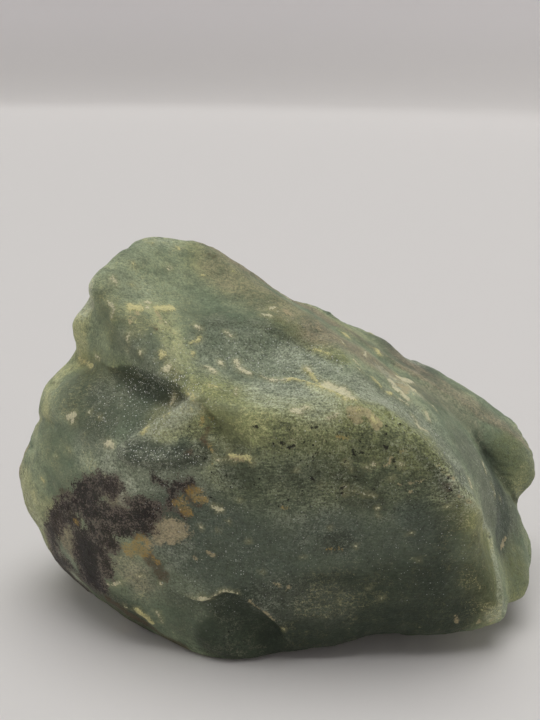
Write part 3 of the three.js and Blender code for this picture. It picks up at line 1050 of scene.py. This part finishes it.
class Bench:
    """The node tree of one material."""

    dot_edge = 0.05

    def __init__(self, name: str) -> None:
        """Starts a material with an empty tree.

        Args:
            name: The material's name.
        """
        self.material = bpy.data.materials.new(name)
        self.material.use_nodes = True
        self.tree = self.material.node_tree
        self.tree.nodes.clear()

    def node(self, kind: str, settings: dict, values: dict, output: int | str = 0) -> Shade:
        """Adds a node.

        Args:
            kind: The node's type.
            settings: Its own settings, set first.
            values: Values or links of its sockets, by name or number.
            output: Which output to hand back.

        Returns:
            The chosen output.
        """
        made = self.tree.nodes.new(kind)
        for name, value in settings.items():
            setattr(made, name, value)
        for name, value in values.items():
            if isinstance(value, Shade):
                self.tree.links.new(value.socket, made.inputs[name])
            else:
                made.inputs[name].default_value = value
        return Shade(self, made.outputs[output])

    def math(self, operation: str, first: Shade | float, second: Shade | float) -> Shade:
        """A Math node on two values."""
        return self.node("ShaderNodeMath", {"operation": operation}, {0: first, 1: second})

    def larger(self, first: Shade, second: Shade | float) -> Shade:
        """The larger of two values."""
        return self.math("MAXIMUM", first, second)

    def around_half(self, value: Shade) -> Shade:
        """How far a value lies from a half."""
        return self.math("ABSOLUTE", value - 0.5, 0.0)

    def mixed(self, under: Shade | Colour, over: Shade | Colour, amount: Shade | float) -> Shade:
        """One colour laid over another by an amount."""
        settings = {"data_type": "RGBA", "blend_type": "MIX"}
        return self.node("ShaderNodeMix", settings, {0: amount, 6: under, 7: over}, 2)

    def scaled(self, colour: Shade, amount: Shade | float) -> Shade:
        """A colour or vector times a number."""
        return self.node("ShaderNodeVectorMath", {"operation": "SCALE"}, {0: colour, "Scale": amount})

    def stretched(self, vector: Shade, by: Point) -> Shade:
        """A vector times another, side by side."""
        return self.node("ShaderNodeVectorMath", {"operation": "MULTIPLY"}, {0: vector, 1: by})

    def noise(self, where: Shade, scale: float, detail: float = 3.0, rough: float = 0.55) -> Shade:
        """Cloudy noise about 0.5, with scale in cycles per unit of where."""
        values = {"Vector": where, "Scale": scale, "Detail": detail, "Roughness": rough}
        return self.node("ShaderNodeTexNoise", {"noise_dimensions": "3D"}, values, 0)

    def cells(self, where: Shade, scale: float, output: str) -> Shade:
        """Crystal cells: the distance to the nearest middle, or a colour for each."""
        return self.node("ShaderNodeTexVoronoi", {"feature": "F1"}, {"Vector": where, "Scale": scale}, output)

    def dots(self, where: Shade, scale: float, least: float, most: float) -> Shade:
        """Scattered round dots.

        Args:
            where: The place in the material.
            scale: Dots in each unit of where.
            least: The smallest dot's radius, as a share of a cell.
            most: The largest dot's radius.

        Returns:
            A chance of its own for each dot, and near 0 between them.
        """
        tint = self.cells(where, scale, "Color")
        size = least + self.part(tint, 1) * (most - least)
        inside = size - self.cells(where, scale, "Distance")
        return self.part(tint, 0) * inside.rise(-self.dot_edge, self.dot_edge)

    def part(self, colour: Shade, which: int) -> Shade:
        """One of the three parts of a colour, as a number."""
        return self.node("ShaderNodeSeparateColor", {}, {0: colour}, which)

    def stored(self, name: Mark | Tone | str) -> Shade:
        """A number stored on the mesh, by its name or the mark or tone it is for."""
        name = name if isinstance(name, str) else name.value
        return self.node("ShaderNodeAttribute", {"attribute_name": name}, {}, "Fac")

    def weighed(self, **weights: float) -> Shade:
        """The sum of the named stored numbers, each times its weight."""
        return reduce(add, [self.stored(name) * weight for name, weight in weights.items()])

    def finished(self, settings: dict, values: dict) -> bpy.types.Material:
        """Leads a principled shader out.

        Args:
            settings: The shader's own settings.
            values: Values or links of its sockets.

        Returns:
            The material.
        """
        shader = self.node("ShaderNodeBsdfPrincipled", settings, values)
        out = self.tree.nodes.new("ShaderNodeOutputMaterial")
        self.tree.links.new(shader.socket, out.inputs["Surface"])
        return self.material


def paint(red: int, green: int, blue: int) -> Colour:
    """A colour as the shader's linear values.

    Args:
        red: Its red, from 0 to 255.
        green: Its green.
        blue: Its blue.

    Returns:
        The four values, whole at the last.
    """
    parts = [value / 255 for value in (red, green, blue)]
    linear = [p / 12.92 if p <= 0.04045 else ((p + 0.055) / 1.055) ** 2.4 for p in parts]
    return (*linear, 1.0)


@dataclass(frozen=True)
class Clouds:
    """The noises that the finish shares, from the broadest to the sharpest."""

    broad: Shade
    middle: Shade
    patchy: Shade
    fine: Shade
    grain: Shade
    lines: Shade
    crystal: Shade
    dots: tuple[Shade, ...]
    sparks: tuple[Shade, ...]
    bend: Shade
    twist: Shade

    def total(self, **weights: float) -> Shade:
        """The sum of the named noises, each times its weight."""
        return reduce(add, [getattr(self, name) * weight for name, weight in weights.items()])

    def swing(self, **weights: float) -> Shade:
        """The same sum about 0, as each noise drifts about a half."""
        return reduce(add, [(getattr(self, name) - 0.5) * weight for name, weight in weights.items()])


@dataclass(frozen=True)
class Edge:
    """A mark's edge: how far noise pushes it, how ragged it is, and where it starts and is whole."""

    push: float
    ragged: float
    starts: float
    whole: float


@dataclass(frozen=True)
class Coat:
    """A colour laid over the stone: how much of it, and how much more on the open grains."""

    colour: Colour
    amount: float
    on_grains: float = 0.0


EDGES = {
    Mark.STAIN: Edge(4.5, 4.0, -0.3, 0.4),
    Mark.TAN: Edge(4.2, 1.6, -0.4, 0.6),
    Mark.RUST: Edge(2.6, 1.4, -0.25, 0.4),
    Mark.UMBER: Edge(2.4, 1.6, -0.3, 0.4),
    Mark.SPECK: Edge(1.8, 1.4, 0.02, 0.16),
}
CRUST_EDGE = Edge(1.6, 0.9, -0.08, 0.2)

# From the lowest to the topmost.
TONE_COATS = {
    Tone.SLATE: Coat(paint(128, 136, 114), 0.85),
    # Pale yellow-green, partly painted glow.
    Tone.STRAW: Coat(paint(188, 190, 140), 0.7),
    Tone.OLIVE: Coat(paint(136, 142, 94), 0.85),
    # Partly the darker green-grey of the front, partly painted shade.
    Tone.DUSK: Coat(paint(70, 81, 71), 0.85),
    Tone.BLUSH: Coat(paint(152, 140, 116), 0.8),
}
FILM_COATS = {
    Mark.TAN: Coat(paint(200, 184, 148), 0.4, 0.45),
    Mark.UMBER: Coat(paint(88, 68, 50), 0.4, 0.45),
    Mark.STAIN: Coat(paint(116, 106, 94), 1.0, -0.09),
    Mark.RUST: Coat(paint(180, 150, 84), 0.3, 0.5),
    Mark.BUFF: Coat(paint(196, 180, 140), 0.4, 0.35),
    Mark.YELLOW: Coat(paint(230, 222, 162), 0.52, 0.4),
    Mark.CREAM: Coat(paint(232, 226, 190), 0.55, 0.4),
    Mark.SPECK: Coat(paint(20, 18, 16), 0.92),
}


@dataclass(frozen=True)
class Aventurine:
    """The finish of the stone: granular green quartz with films, crusts and glitter, and painted shade and
    glow.
    """

    sage: Colour = paint(149, 160, 128)
    teal: Colour = paint(133, 149, 120)
    # Dark green of the painted shade, and of the veins.
    deep: Colour = paint(43, 52, 39)
    haze: Colour = paint(208, 213, 188)
    # Painted glow of light through thin parts of the stone.
    glow: Colour = paint(168, 176, 118)
    stain_dark: Colour = paint(33, 24, 25)
    spark: Colour = paint(236, 238, 230)
    specular: float = 0.28
    subsurface: float = 0.12
    scatter: Point = (0.0022, 0.0026, 0.0014)
    grain_depth: float = 0.2
    crust_relief: float = 0.35
    roughness: float = 0.42
    crust_roughness: float = 0.2
    spark_gloss: float = 0.25
    crystal_scale: float = 2.9
    dot_scales: Spot = (1.5, 2.6)
    dot_sizes: Spot = (0.08, 0.26)
    spark_scales: Spot = (2.8, 4.4)
    spark_sizes: Spot = (0.16, 0.32)
    spark_range: Spot = (0.99, 1.12)
    drift_range: Spot = (0.4, 0.6)
    thin_range: Spot = (9.0, 1.0)
    # Painted shade in the hollows of the skin, and the strength of all painted shade.
    hollow_shade_range: Spot = (0.05, 0.6)
    hollow_shade_amount: float = 0.6
    painted_shade_amount: float = 0.8
    proud_range: Spot = (-0.08, -0.5)
    proud_amount: float = 0.4
    haze_range: Spot = (0.0, 1.4)
    haze_amount: float = 0.58
    plain_mottle: float = 0.95
    least_mottle: float = 0.5
    darkest: float = 0.5
    grey_range: Spot = (0.2, 0.7)
    patch_range: Spot = (0.65, 0.72)
    patch_amount: float = 0.38
    thread_width: float = 0.03
    thread_amounts: Spot = (0.55, 0.6)
    vein_at: float = 0.05
    vein_width: float = 0.04
    pepper_range: Spot = (0.0, 0.03)
    pepper_amount: float = 0.9
    dot_range: Spot = (1.03, 1.07)
    dot_amount: float = 0.95
    core_range: Spot = (1.14, 1.38)
    grain_range: Spot = (0.25, 0.75)
    bloom_range: Spot = (-0.9, 0.3)
    bloom_amount: float = 0.16

    def material(self) -> bpy.types.Material:
        """Builds the material from the numbers stored on the mesh and from noise.

        Returns:
            The material.
        """
        bench = Bench("aventurine")
        clouds = self.clouds(bench)
        colour = self.ground(bench, clouds)
        colour = self.tones(bench, colour, clouds)
        colour = bench.scaled(colour, self.mottle(bench, clouds))
        colour = self.flecks(bench, colour, clouds)
        cover = {mark: self.cover(bench, mark, clouds) for mark in Mark}
        colour = self.films(bench, colour, cover, clouds)
        # Pale grains and painted glints, laid white over the base colour.
        sparks = self.sparks(bench, clouds)
        crusty = bench.larger(bench.larger(cover[Mark.CREAM], cover[Mark.YELLOW]), cover[Mark.TAN])
        roughness = self.roughness + clouds.total(fine=0.3) + crusty * self.crust_roughness
        roughness = roughness - sparks * self.spark_gloss
        relief = clouds.total(grain=0.6, fine=1.0, crystal=0.12) + crusty * self.crust_relief
        bump = {"Strength": 1.0, "Distance": self.grain_depth * MM, "Height": relief}
        return bench.finished(
            {"subsurface_method": "RANDOM_WALK"},
            {
                "Base Color": bench.mixed(colour, self.spark, sparks),
                "Roughness": roughness.clipped(),
                "Specular IOR Level": self.specular,
                "Subsurface Weight": self.subsurface,
                "Subsurface Radius": self.scatter,
                "Subsurface Scale": 1.0,
                "Normal": bench.node("ShaderNodeBump", {}, bump, "Normal"),
            },
        )

    def clouds(self, bench: Bench) -> Clouds:
        """Makes the shared noises, on places in millimetres.

        Args:
            bench: The material's nodes.

        Returns:
            The noises.
        """
        where = bench.scaled(bench.node("ShaderNodeTexCoord", {}, {}, "Object"), 1 / MM)
        along, across = bench.stretched(where, (0.5, 1.3, 1.6)), bench.stretched(where, (0.9, 0.9, 0.6))
        return Clouds(
            broad=bench.noise(where, scale=0.055, detail=3.0),
            middle=bench.noise(where, scale=0.28, detail=4.0, rough=0.6),
            patchy=bench.noise(where, scale=0.8, detail=6.0, rough=0.7),
            fine=bench.noise(where, scale=1.7, detail=4.0, rough=0.75),
            grain=bench.noise(where, scale=3.4, detail=2.0, rough=0.8),
            lines=bench.noise(bench.stretched(where, (0.45, 1.5, 2.2)), scale=1.5, detail=4.0, rough=0.7),
            crystal=bench.part(bench.cells(where, self.crystal_scale, "Color"), 0),
            dots=tuple(bench.dots(where, scale, *self.dot_sizes) for scale in self.dot_scales),
            sparks=tuple(bench.dots(where, scale, *self.spark_sizes) for scale in self.spark_scales),
            bend=bench.around_half(bench.noise(along, scale=0.8, detail=4.0, rough=0.6)),
            twist=bench.around_half(bench.noise(across, scale=1.3, detail=3.0, rough=0.6)),
        )

    def cover(self, bench: Bench, mark: Mark, clouds: Clouds) -> Shade:
        """How fully a kind of mark covers the stone, with an edge that noise pushes about.

        Args:
            bench: The material's nodes.
            mark: The kind of mark.
            clouds: The shared noises.

        Returns:
            A number from 0 to 1.
        """
        edge = EDGES.get(mark, CRUST_EDGE)
        pushed = bench.stored(mark) + clouds.swing(patchy=edge.push) + clouds.swing(grain=edge.ragged)
        return pushed.rise(edge.starts, edge.whole)

    def ground(self, bench: Bench, clouds: Clouds) -> Shade:
        """The green of the quartz itself, drifting between two greens."""
        drift = clouds.total(broad=0.7, middle=0.4) - 0.05
        return bench.mixed(self.teal, self.sage, drift.rise(*self.drift_range))

    def tones(self, bench: Bench, colour: Shade, clouds: Clouds) -> Shade:
        """Lays the soft tones, with noise in their fading edges, and paints shade in hollows and glow at thin
        parts.

        Args:
            bench: The material's nodes.
            colour: The stone's colour so far.
            clouds: The shared noises.

        Returns:
            The colour with its tones.
        """
        sway = clouds.swing(middle=1.4, fine=1.4, lines=0.8)
        for tone, coat in TONE_COATS.items():
            weight = bench.stored(tone)
            amount = (weight + weight * sway).rise(0.0, 1.0) * coat.amount
            colour = bench.mixed(colour, coat.colour, amount)
        # Painted glow: lighter yellow-green where little stone lies behind the skin, left out where the front
        # is painted darker.
        thin = bench.stored("thin").rise(*self.thin_range) * (1.0 - bench.stored(Tone.DUSK).clipped())
        colour = bench.mixed(colour, self.glow, thin * (0.25 + clouds.total(fine=0.5)))
        hollow = bench.stored("hollow")
        # Painted shade: the dark tone and the hollows of the skin darken the colour.
        deep = bench.larger(bench.stored(Tone.DEEP), hollow.rise(*self.hollow_shade_range) * self.hollow_shade_amount)
        colour = bench.mixed(colour, self.deep, (deep + deep * sway).rise(0.0, 1.0) * self.painted_shade_amount)
        haze = bench.larger(bench.stored(Tone.HAZE), bench.stored(Tone.WORN))
        haze = bench.larger(haze, hollow.rise(*self.proud_range) * self.proud_amount)
        dusty = haze * 0.7 + clouds.swing(grain=1.4, lines=1.6) * haze.clipped()
        return bench.mixed(colour, self.haze, dusty.rise(*self.haze_range) * self.haze_amount)

    def mottle(self, bench: Bench, clouds: Clouds) -> Shade:
        """Lighter and darker grains over the whole stone.

        Args:
            bench: The material's nodes.
            clouds: The shared noises.

        Returns:
            A number about 1 to scale the colour by.
        """
        busy = bench.weighed(slate=0.8, pepper=1.3, blush=0.6, dusk=0.15) + self.plain_mottle
        busy = bench.larger(busy - bench.weighed(deep=0.5), self.least_mottle)
        soft = clouds.swing(middle=0.6, patchy=0.6) * (1.0 + bench.weighed(dusk=0.8))
        sharp = clouds.swing(fine=0.9, grain=1.0)
        sharp = sharp + (clouds.lines - 0.5) * (bench.weighed(pepper=0.8) + 0.3)
        return bench.larger(soft + sharp * busy + clouds.swing(crystal=0.12) + 1.0, self.darkest)

    def flecks(self, bench: Bench, colour: Shade, clouds: Clouds) -> Shade:
        """Lays pale flecks and threads everywhere, and dark pepper where it is stored.

        Args:
            bench: The material's nodes.
            colour: The stone's colour so far.
            clouds: The shared noises.

        Returns:
            The colour with its flecks.
        """
        pepper = bench.stored(Tone.PEPPER)
        haze = bench.larger(bench.stored(Tone.HAZE), bench.stored(Tone.STRAW))
        calm = 1.0 - bench.stored(Tone.DUSK).clipped()
        busy = bench.larger(haze, bench.stored(Tone.SLATE) * calm * 0.5) * 0.7 + calm * 0.2 + 0.1
        cream, yellow, speck = (FILM_COATS[mark].colour for mark in (Mark.CREAM, Mark.YELLOW, Mark.SPECK))
        pale = bench.mixed(cream, yellow, clouds.broad.rise(0.45, 0.55))
        pale = bench.mixed(pale, self.haze, bench.stored(Tone.SLATE).rise(*self.grey_range))
        patches = (clouds.patchy + busy * 0.04).rise(*self.patch_range) * clouds.grain.rise(0.3, 0.6)
        colour = bench.mixed(colour, pale, patches * self.patch_amount)
        for weave, amount in zip((clouds.bend, clouds.twist), self.thread_amounts):
            threads = weave.rise(self.thread_width, 0.0) * clouds.middle.rise(0.4, 0.56)
            threads = threads * clouds.fine.rise(0.4, 0.55)
            colour = bench.mixed(colour, pale, threads * busy * amount)
        veins = (clouds.bend - self.vein_at).rise(self.vein_width, 0.0) * clouds.middle.rise(0.56, 0.42)
        colour = bench.mixed(colour, self.deep, veins * (pepper * 0.4 + 0.14))
        dark = pepper * 0.08 + clouds.swing(middle=0.3) + 0.28 - clouds.fine
        dark = dark.rise(*self.pepper_range) * pepper.rise(0.0, 0.4)
        colour = bench.mixed(colour, speck, dark * self.pepper_amount)
        for dots in clouds.dots:
            dark = (dots + pepper * 0.33).rise(*self.dot_range)
            colour = bench.mixed(colour, speck, dark * self.dot_amount)
        return colour

    def films(self, bench: Bench, colour: Shade, cover: dict[Mark, Shade], clouds: Clouds) -> Shade:
        """Lays the crisp marks, from the thin films up to the crusts.

        Args:
            bench: The material's nodes.
            colour: The stone's colour so far.
            cover: How fully each kind of mark covers the stone.
            clouds: The shared noises.

        Returns:
            The colour with its marks.
        """
        core = clouds.total(middle=0.6, patchy=0.5, fine=0.6, grain=0.7)
        core = core + bench.stored(Mark.STAIN).clipped() * 0.02 + bench.weighed(stain=0.09)
        stain = bench.mixed(FILM_COATS[Mark.STAIN].colour, self.stain_dark, core.rise(*self.core_range))
        grains = (clouds.total(fine=1.2, grain=0.8) - 0.5).rise(*self.grain_range)
        for mark in (Mark.CREAM, Mark.YELLOW):
            around = (bench.stored(mark) + clouds.swing(patchy=2.5)).rise(*self.bloom_range)
            colour = bench.mixed(colour, FILM_COATS[Mark.YELLOW].colour, around * self.bloom_amount)
        for mark, coat in FILM_COATS.items():
            over = stain if mark is Mark.STAIN else coat.colour
            amount = coat.amount + grains * coat.on_grains if coat.on_grains else coat.amount
            colour = bench.mixed(colour, over, cover[mark] * amount)
        return colour

    def sparks(self, bench: Bench, clouds: Clouds) -> Shade:
        """Tiny bright grains of two sizes, closer together where the stone glitters: pale grains and painted
        glints.

        Args:
            bench: The material's nodes.
            clouds: The shared noises.

        Returns:
            How fully a grain covers the stone.
        """
        close = bench.weighed(glitter=0.36)
        total = bench.larger(*[(dots + close).rise(*self.spark_range) for dots in clouds.sparks])
        return total * (0.3 + bench.weighed(glitter=0.5))


# ---------------------------------------------------------------- the stone


@dataclass
class Stone:
    """The lump with its fine relief, its marks and its finish."""

    skin: Skin = field(default_factory=Skin)
    finish: Aventurine = field(default_factory=Aventurine)
    view: View = field(default_factory=View)
    swell: float = 0.3
    swell_length: float = 9.0
    swell_fractal: Fractal = (0.9, 2.1, 3)
    ripple: float = 0.13
    ripple_length: float = 2.6
    ripple_fractal: Fractal = (0.8, 2.2, 3)
    chip_depth: float = 0.5
    chip_size: float = 6.0
    chip_level: float = 0.15
    patch_length: float = 14.0
    patch_start: Point = (3.1, 7.7, 1.3)
    patch_level: float = 0.15
    patch_slope: float = 2.5
    shell_depth: float = 3.2
    shell_size: float = 15.0
    shell_level: float = 0.2
    shell_bend: float = 4.0
    shell_sway: float = 11.0
    sway_shifts: tuple[Point, ...] = ((9.3, -1.5, -7.9), (0.0, 0.0, 0.0), (6.3, 0.2, -2.7))
    crust_height: float = 0.12
    crust_edge: Spot = (-0.2, 0.3)
    foot_clear: float = 2.0
    farthest: float = 8.0
    spread: float = 0.05
    spreads: dict = field(default_factory=lambda: {Mark.SPECK: -0.02, Mark.STAIN: -0.15, Mark.TAN: 0.0})
    calm_rounds: int = 24
    calm_share: float = 0.5
    under_skin: float = 0.05
    offset: np.ndarray = field(default_factory=lambda: np.zeros(3))

    def build(self) -> bpy.types.Object:
        """Cuts the skin, lays the marks on it and makes the mesh.

        Returns:
            The piece.
        """
        points, triangles = self.skin.cut()
        sight = Sight(self.view, points, triangles)
        normals = self.normals(points, triangles)
        stored = self.laid_numbers(sight, points)
        rise = self.rise(sight, points, stored, sight.hidden(points, normals))
        points = points + normals * (rise * smooth_step(points[:, 2], 0.0, self.foot_clear))[:, None]
        points[:, 2] = np.maximum(points[:, 2], 0.0)
        stored["hollow"] = self.hollows(points, triangles, self.normals(points, triangles))
        stored["thin"] = self.thickness(points, triangles, normals)
        self.offset = self.place_in_box(points)
        return self.mesh(points + self.offset, triangles, stored)

    def place_in_box(self, points: np.ndarray) -> np.ndarray:
        """The move that brings the skin's middle over the middle of the solid stone.

        Args:
            points: The skin's points.

        Returns:
            The level move, in millimetres.
        """
        low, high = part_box("stone")
        move = (np.array(low) + np.array(high)) / 2 / MM - (points.min(0) + points.max(0)) / 2
        return np.array([move[0], move[1], 0.0])

    def normals(self, points: np.ndarray, triangles: np.ndarray) -> np.ndarray:
        """The outward unit vector at each point.

        Args:
            points: The skin's points.
            triangles: Its triangles.

        Returns:
            One vector for each point.
        """
        a, b, c = (points[triangles[:, k]] for k in range(3))
        facing = np.cross(b - a, c - a)
        total = np.zeros_like(points)
        for k in range(3):
            for axis in range(3):
                total[:, axis] += np.bincount(triangles[:, k], facing[:, axis], len(points))
        return total / np.linalg.norm(total, axis=1, keepdims=True)

    def laid(self, sight: Sight, points: np.ndarray) -> Iterator[tuple[Laid | Strewn, np.ndarray]]:
        """Goes through every path and every strewn line.

        Args:
            sight: Finds the skin behind a spot.
            points: The skin's points.

        Yields:
            What is laid, and the distance of each point from one of its lines.
        """
        for row in LAID:
            LOG.debug("laid: %s", row.name)
            for path in row.paths:
                yield row, sight.distances(points, path, row.lean)
        for strewn in STREWN:
            chance = random.Random(f"{strewn.kind.value} {strewn.width}")
            lines = [sight.stray(self.skin, strewn.length, chance) for _ in range(strewn.count)]
            yield from ((strewn, sight.along(points, line)) for line in lines)

    def laid_numbers(self, sight: Sight, points: np.ndarray) -> dict[str, np.ndarray]:
        """Works out the numbers that the finish reads.

        Args:
            sight: Finds the skin behind a spot.
            points: The skin's points.

        Returns:
            For each mark, how far inside its outline each point lies, and for each tone, how
            strong it is there.
        """
        stored = {mark.value: np.full(len(points), -self.farthest) for mark in Mark}
        stored.update({tone.value: np.zeros(len(points)) for tone in Tone})
        for row, gap in self.laid(sight, points):
            if isinstance(row.kind, Mark):
                number = row.width / 2 + self.spreads.get(row.kind, self.spread) - gap
            else:
                number = row.strength * np.exp(-((np.maximum(gap - row.width, 0.0) / row.fade) ** 2))
            name = row.kind.value
            stored[name] = np.maximum(stored[name], number)
        return stored

    def rise(self, sight: Sight, points: np.ndarray, stored: dict, hidden: np.ndarray) -> np.ndarray:
        """How far the fine relief lifts each point off the smooth skin.

        Args:
            sight: Finds the skin behind a spot.
            points: The skin's points.
            stored: The numbers of the marks.
            hidden: How far each point faces away from the camera.

        Returns:
            One height for each point.
        """
        total = np.zeros(len(points))
        for relief in RELIEFS:
            LOG.debug("raised: %s", relief.name)
            deepest = np.zeros(len(points))
            for path in relief.paths:
                gap = sight.distances(points, path, relief.lean)
                deepest = np.maximum(deepest, np.exp(-((gap / relief.reach) ** 2)))
            total += relief.rise * deepest
        for crust in (Mark.CREAM, Mark.YELLOW, Mark.TAN):
            total += self.crust_height * smooth_step(stored[crust.value], *self.crust_edge)
        spots = (Vector(place) for place in points.tolist())
        return total + np.array([self.wave(spot, away) for spot, away in zip(spots, hidden.tolist())])

    def wave(self, spot: Vector, away: float) -> float:
        """The height of the swell, the ripple and the chips at one spot.

        Args:
            spot: The spot on the skin.
            away: How far it faces away from the camera, where broad chips stand.

        Returns:
            The height.
        """
        swell = noise.fractal(spot / self.swell_length, *self.swell_fractal)
        ripple = noise.fractal(spot / self.ripple_length, *self.ripple_fractal)
        patch = noise.noise(spot / self.patch_length + Vector(self.patch_start))
        gap = noise.voronoi(spot / self.chip_size)[0][0]
        scallop = (gap**2 - self.chip_level) * self.chip_depth
        share = min(max((patch + self.patch_level) * self.patch_slope, 0.0), 1.0)
        height = self.swell * swell + self.ripple * ripple + scallop * share
        if away > 0:
            sway = [noise.noise(spot / self.shell_sway + Vector(shift)) for shift in self.sway_shifts]
            bent = spot + Vector(sway) * self.shell_bend
            near = noise.voronoi(bent / self.shell_size)[0][0]
            height += away * self.shell_depth * (near * near - self.shell_level)
        return height

    def hollows(self, points: np.ndarray, triangles: np.ndarray, normals: np.ndarray) -> np.ndarray:
        """How far each point lies below the average of its surroundings.

        Args:
            points: The skin's points.
            triangles: Its triangles.
            normals: Its outward unit vectors.

        Returns:
            One depth for each point.
        """
        pairs = np.concatenate([triangles[:, [0, 1]], triangles[:, [1, 2]], triangles[:, [2, 0]]])
        count = np.bincount(pairs[:, 0], minlength=len(points))
        calm = points.copy()
        for _ in range(self.calm_rounds):
            parts = [np.bincount(pairs[:, 0], calm[pairs[:, 1], axis], len(points)) for axis in range(3)]
            around = np.stack(parts, axis=1) / count[:, None]
            calm = (1 - self.calm_share) * calm + self.calm_share * around
        return ((calm - points) * normals).sum(1)

    def thickness(self, points: np.ndarray, triangles: np.ndarray, normals: np.ndarray) -> np.ndarray:
        """How much stone lies straight behind each point.

        Args:
            points: The skin's points.
            triangles: Its triangles.
            normals: Its outward unit vectors.

        Returns:
            One length for each point.
        """
        tree = BVHTree.FromPolygons(points.tolist(), triangles.tolist())
        depth = np.empty(len(points))
        for index, (place, outward) in enumerate(zip(points.tolist(), normals.tolist())):
            inward = -Vector(outward)
            gap = tree.ray_cast(Vector(place) + inward * self.under_skin, inward)[3]
            depth[index] = self.skin.reach if gap is None else gap
        return depth

    def mesh(self, points: np.ndarray, triangles: np.ndarray, stored: dict) -> bpy.types.Object:
        """Makes the piece, with its stored numbers.

        Args:
            points: The points of the finished surface.
            triangles: Its triangles.
            stored: The numbers that the finish reads, by name.

        Returns:
            The piece.
        """
        piece = smooth_mesh("stone_skin", points, triangles.tolist())
        for name, values in stored.items():
            layer = piece.data.attributes.new(name, "FLOAT", "POINT")
            layer.data.foreach_set("value", values.astype(np.float32))
        piece.data.update()
        return piece

    def dress(self, piece: bpy.types.Object) -> None:
        """Gives the mesh its finish and its place in the frame.

        Args:
            piece: The piece that build made.
        """
        piece.data.materials.append(self.finish.material())
        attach(piece, "root")
        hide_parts("stone")


# ---------------------------------------------------------------- the studio


@dataclass(frozen=True)
class Lamp:
    """One soft overhead light: how it leans, how broad it looks and how strong it is."""

    name: str
    lean: Spot
    breadth: float
    strength: float

    def hang(self, height: float) -> None:
        """Adds the light, shining down.

        Args:
            height: Where it stands, in metres.
        """
        light = bpy.data.lights.new(self.name, "SUN")
        light.angle = math.radians(self.breadth)
        light.energy = self.strength
        holder = link(bpy.data.objects.new(self.name, light))
        toward, across = (math.radians(turn) for turn in self.lean)
        holder.rotation_euler = (toward, across, 0.0)
        holder.location = (0.0, 0.0, height)


@dataclass
class Studio:
    """Pale floor that sweeps up into a backdrop all round, and the soft lights."""

    middle: Spot = (-350.0, 250.0)
    floor_radius: float = 1350.0
    inner_share: float = 0.3
    sweep: float = 190.0
    rim: float = 900.0
    steps_round: int = 96
    steps_up: int = 16
    lamps: tuple[Lamp, ...] = (
        Lamp("high light", (0.0, 0.5), 52.0, 1.88),
        Lamp("left light", (0.0, -62.0), 50.0, 0.5),
        Lamp("right light", (0.0, 62.0), 50.0, 0.3),
    )
    air: Colour = (0.78, 0.78, 0.8, 1.0)
    air_strength: float = 0.125
    paper_tint: Colour = paint(220, 217, 214)
    paper_roughness: float = 0.9
    paper_gloss: float = 0.2
    dark: Colour = paint(0, 0, 0)
    backdrop: Colour = paint(250, 246, 255)
    far_glow: float = 0.14

    def build(self) -> bpy.types.Object:
        """Makes the floor, the lights and the air.

        Returns:
            The floor.
        """
        profile = [(self.floor_radius * self.inner_share, 0.0), (self.floor_radius, 0.0)]
        for k in range(1, self.steps_up + 1):
            turn = math.pi / 2 * k / self.steps_up
            out = self.floor_radius + self.sweep * math.sin(turn)
            profile.append((out, self.sweep * (1 - math.cos(turn))))
        profile.append((self.floor_radius + self.sweep, self.rim))
        count = self.steps_round
        turns = [2 * math.pi * k / count for k in range(count)]
        points = [(0.0, 0.0, 0.0)]
        points += [(out * math.cos(turn), out * math.sin(turn), up) for out, up in profile for turn in turns]
        faces = [(0, 1 + k, 1 + (k + 1) % count) for k in range(count)]
        for start in range(1, 1 + (len(profile) - 1) * count, count):
            for k in range(count):
                a, b = start + k, start + (k + 1) % count
                faces.append((a, a + count, b + count, b))
        floor = smooth_mesh("studio_floor", np.array(points) + np.array([*self.middle, 0.0]), faces)
        floor.data.materials.append(self.paper())
        for lamp in self.lamps:
            lamp.hang(self.rim * MM)
        self.fill_air()
        return floor

    def paper(self) -> bpy.types.Material:
        """Matt pale paper, which glows softly where it stands up behind the stone.

        Returns:
            The material.
        """
        bench = Bench("studio_paper")
        where = bench.node("ShaderNodeTexCoord", {}, {}, "Object")
        height = bench.node("ShaderNodeSeparateXYZ", {}, {0: where}, "Z")
        upright = height.rise(0.0, self.sweep * MM)
        return bench.finished(
            {},
            {
                "Base Color": self.paper_tint,
                "Roughness": self.paper_roughness,
                "Specular IOR Level": self.paper_gloss,
                "Emission Color": bench.mixed(self.dark, self.backdrop, upright),
                "Emission Strength": self.far_glow,
            },
        )

    def fill_air(self) -> None:
        """Sets the even light that comes from all round."""
        world = bpy.data.worlds.new("studio_air")
        world.use_nodes = True
        back = world.node_tree.nodes["Background"]
        back.inputs["Color"].default_value = self.air
        back.inputs["Strength"].default_value = self.air_strength
        bpy.context.scene.world = world


def main() -> None:
    """Builds the stone and its studio."""
    logging.basicConfig(level=logging.INFO, format="%(name)s: %(message)s")
    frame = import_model()
    LOG.info("frame: %d node to stand in for", len(frame["nodes"]))
    stone = Stone()
    piece = stone.build()
    stone.dress(piece)
    stone.view.build(stone.offset)
    LOG.info("stone: %d points, %d faces", len(piece.data.vertices), len(piece.data.polygons))
    Studio().build()
    LOG.info("studio: floor, backdrop and lights")
    bpy.context.scene.view_settings.view_transform = "Standard"


if __name__ == "__main__":
    main()
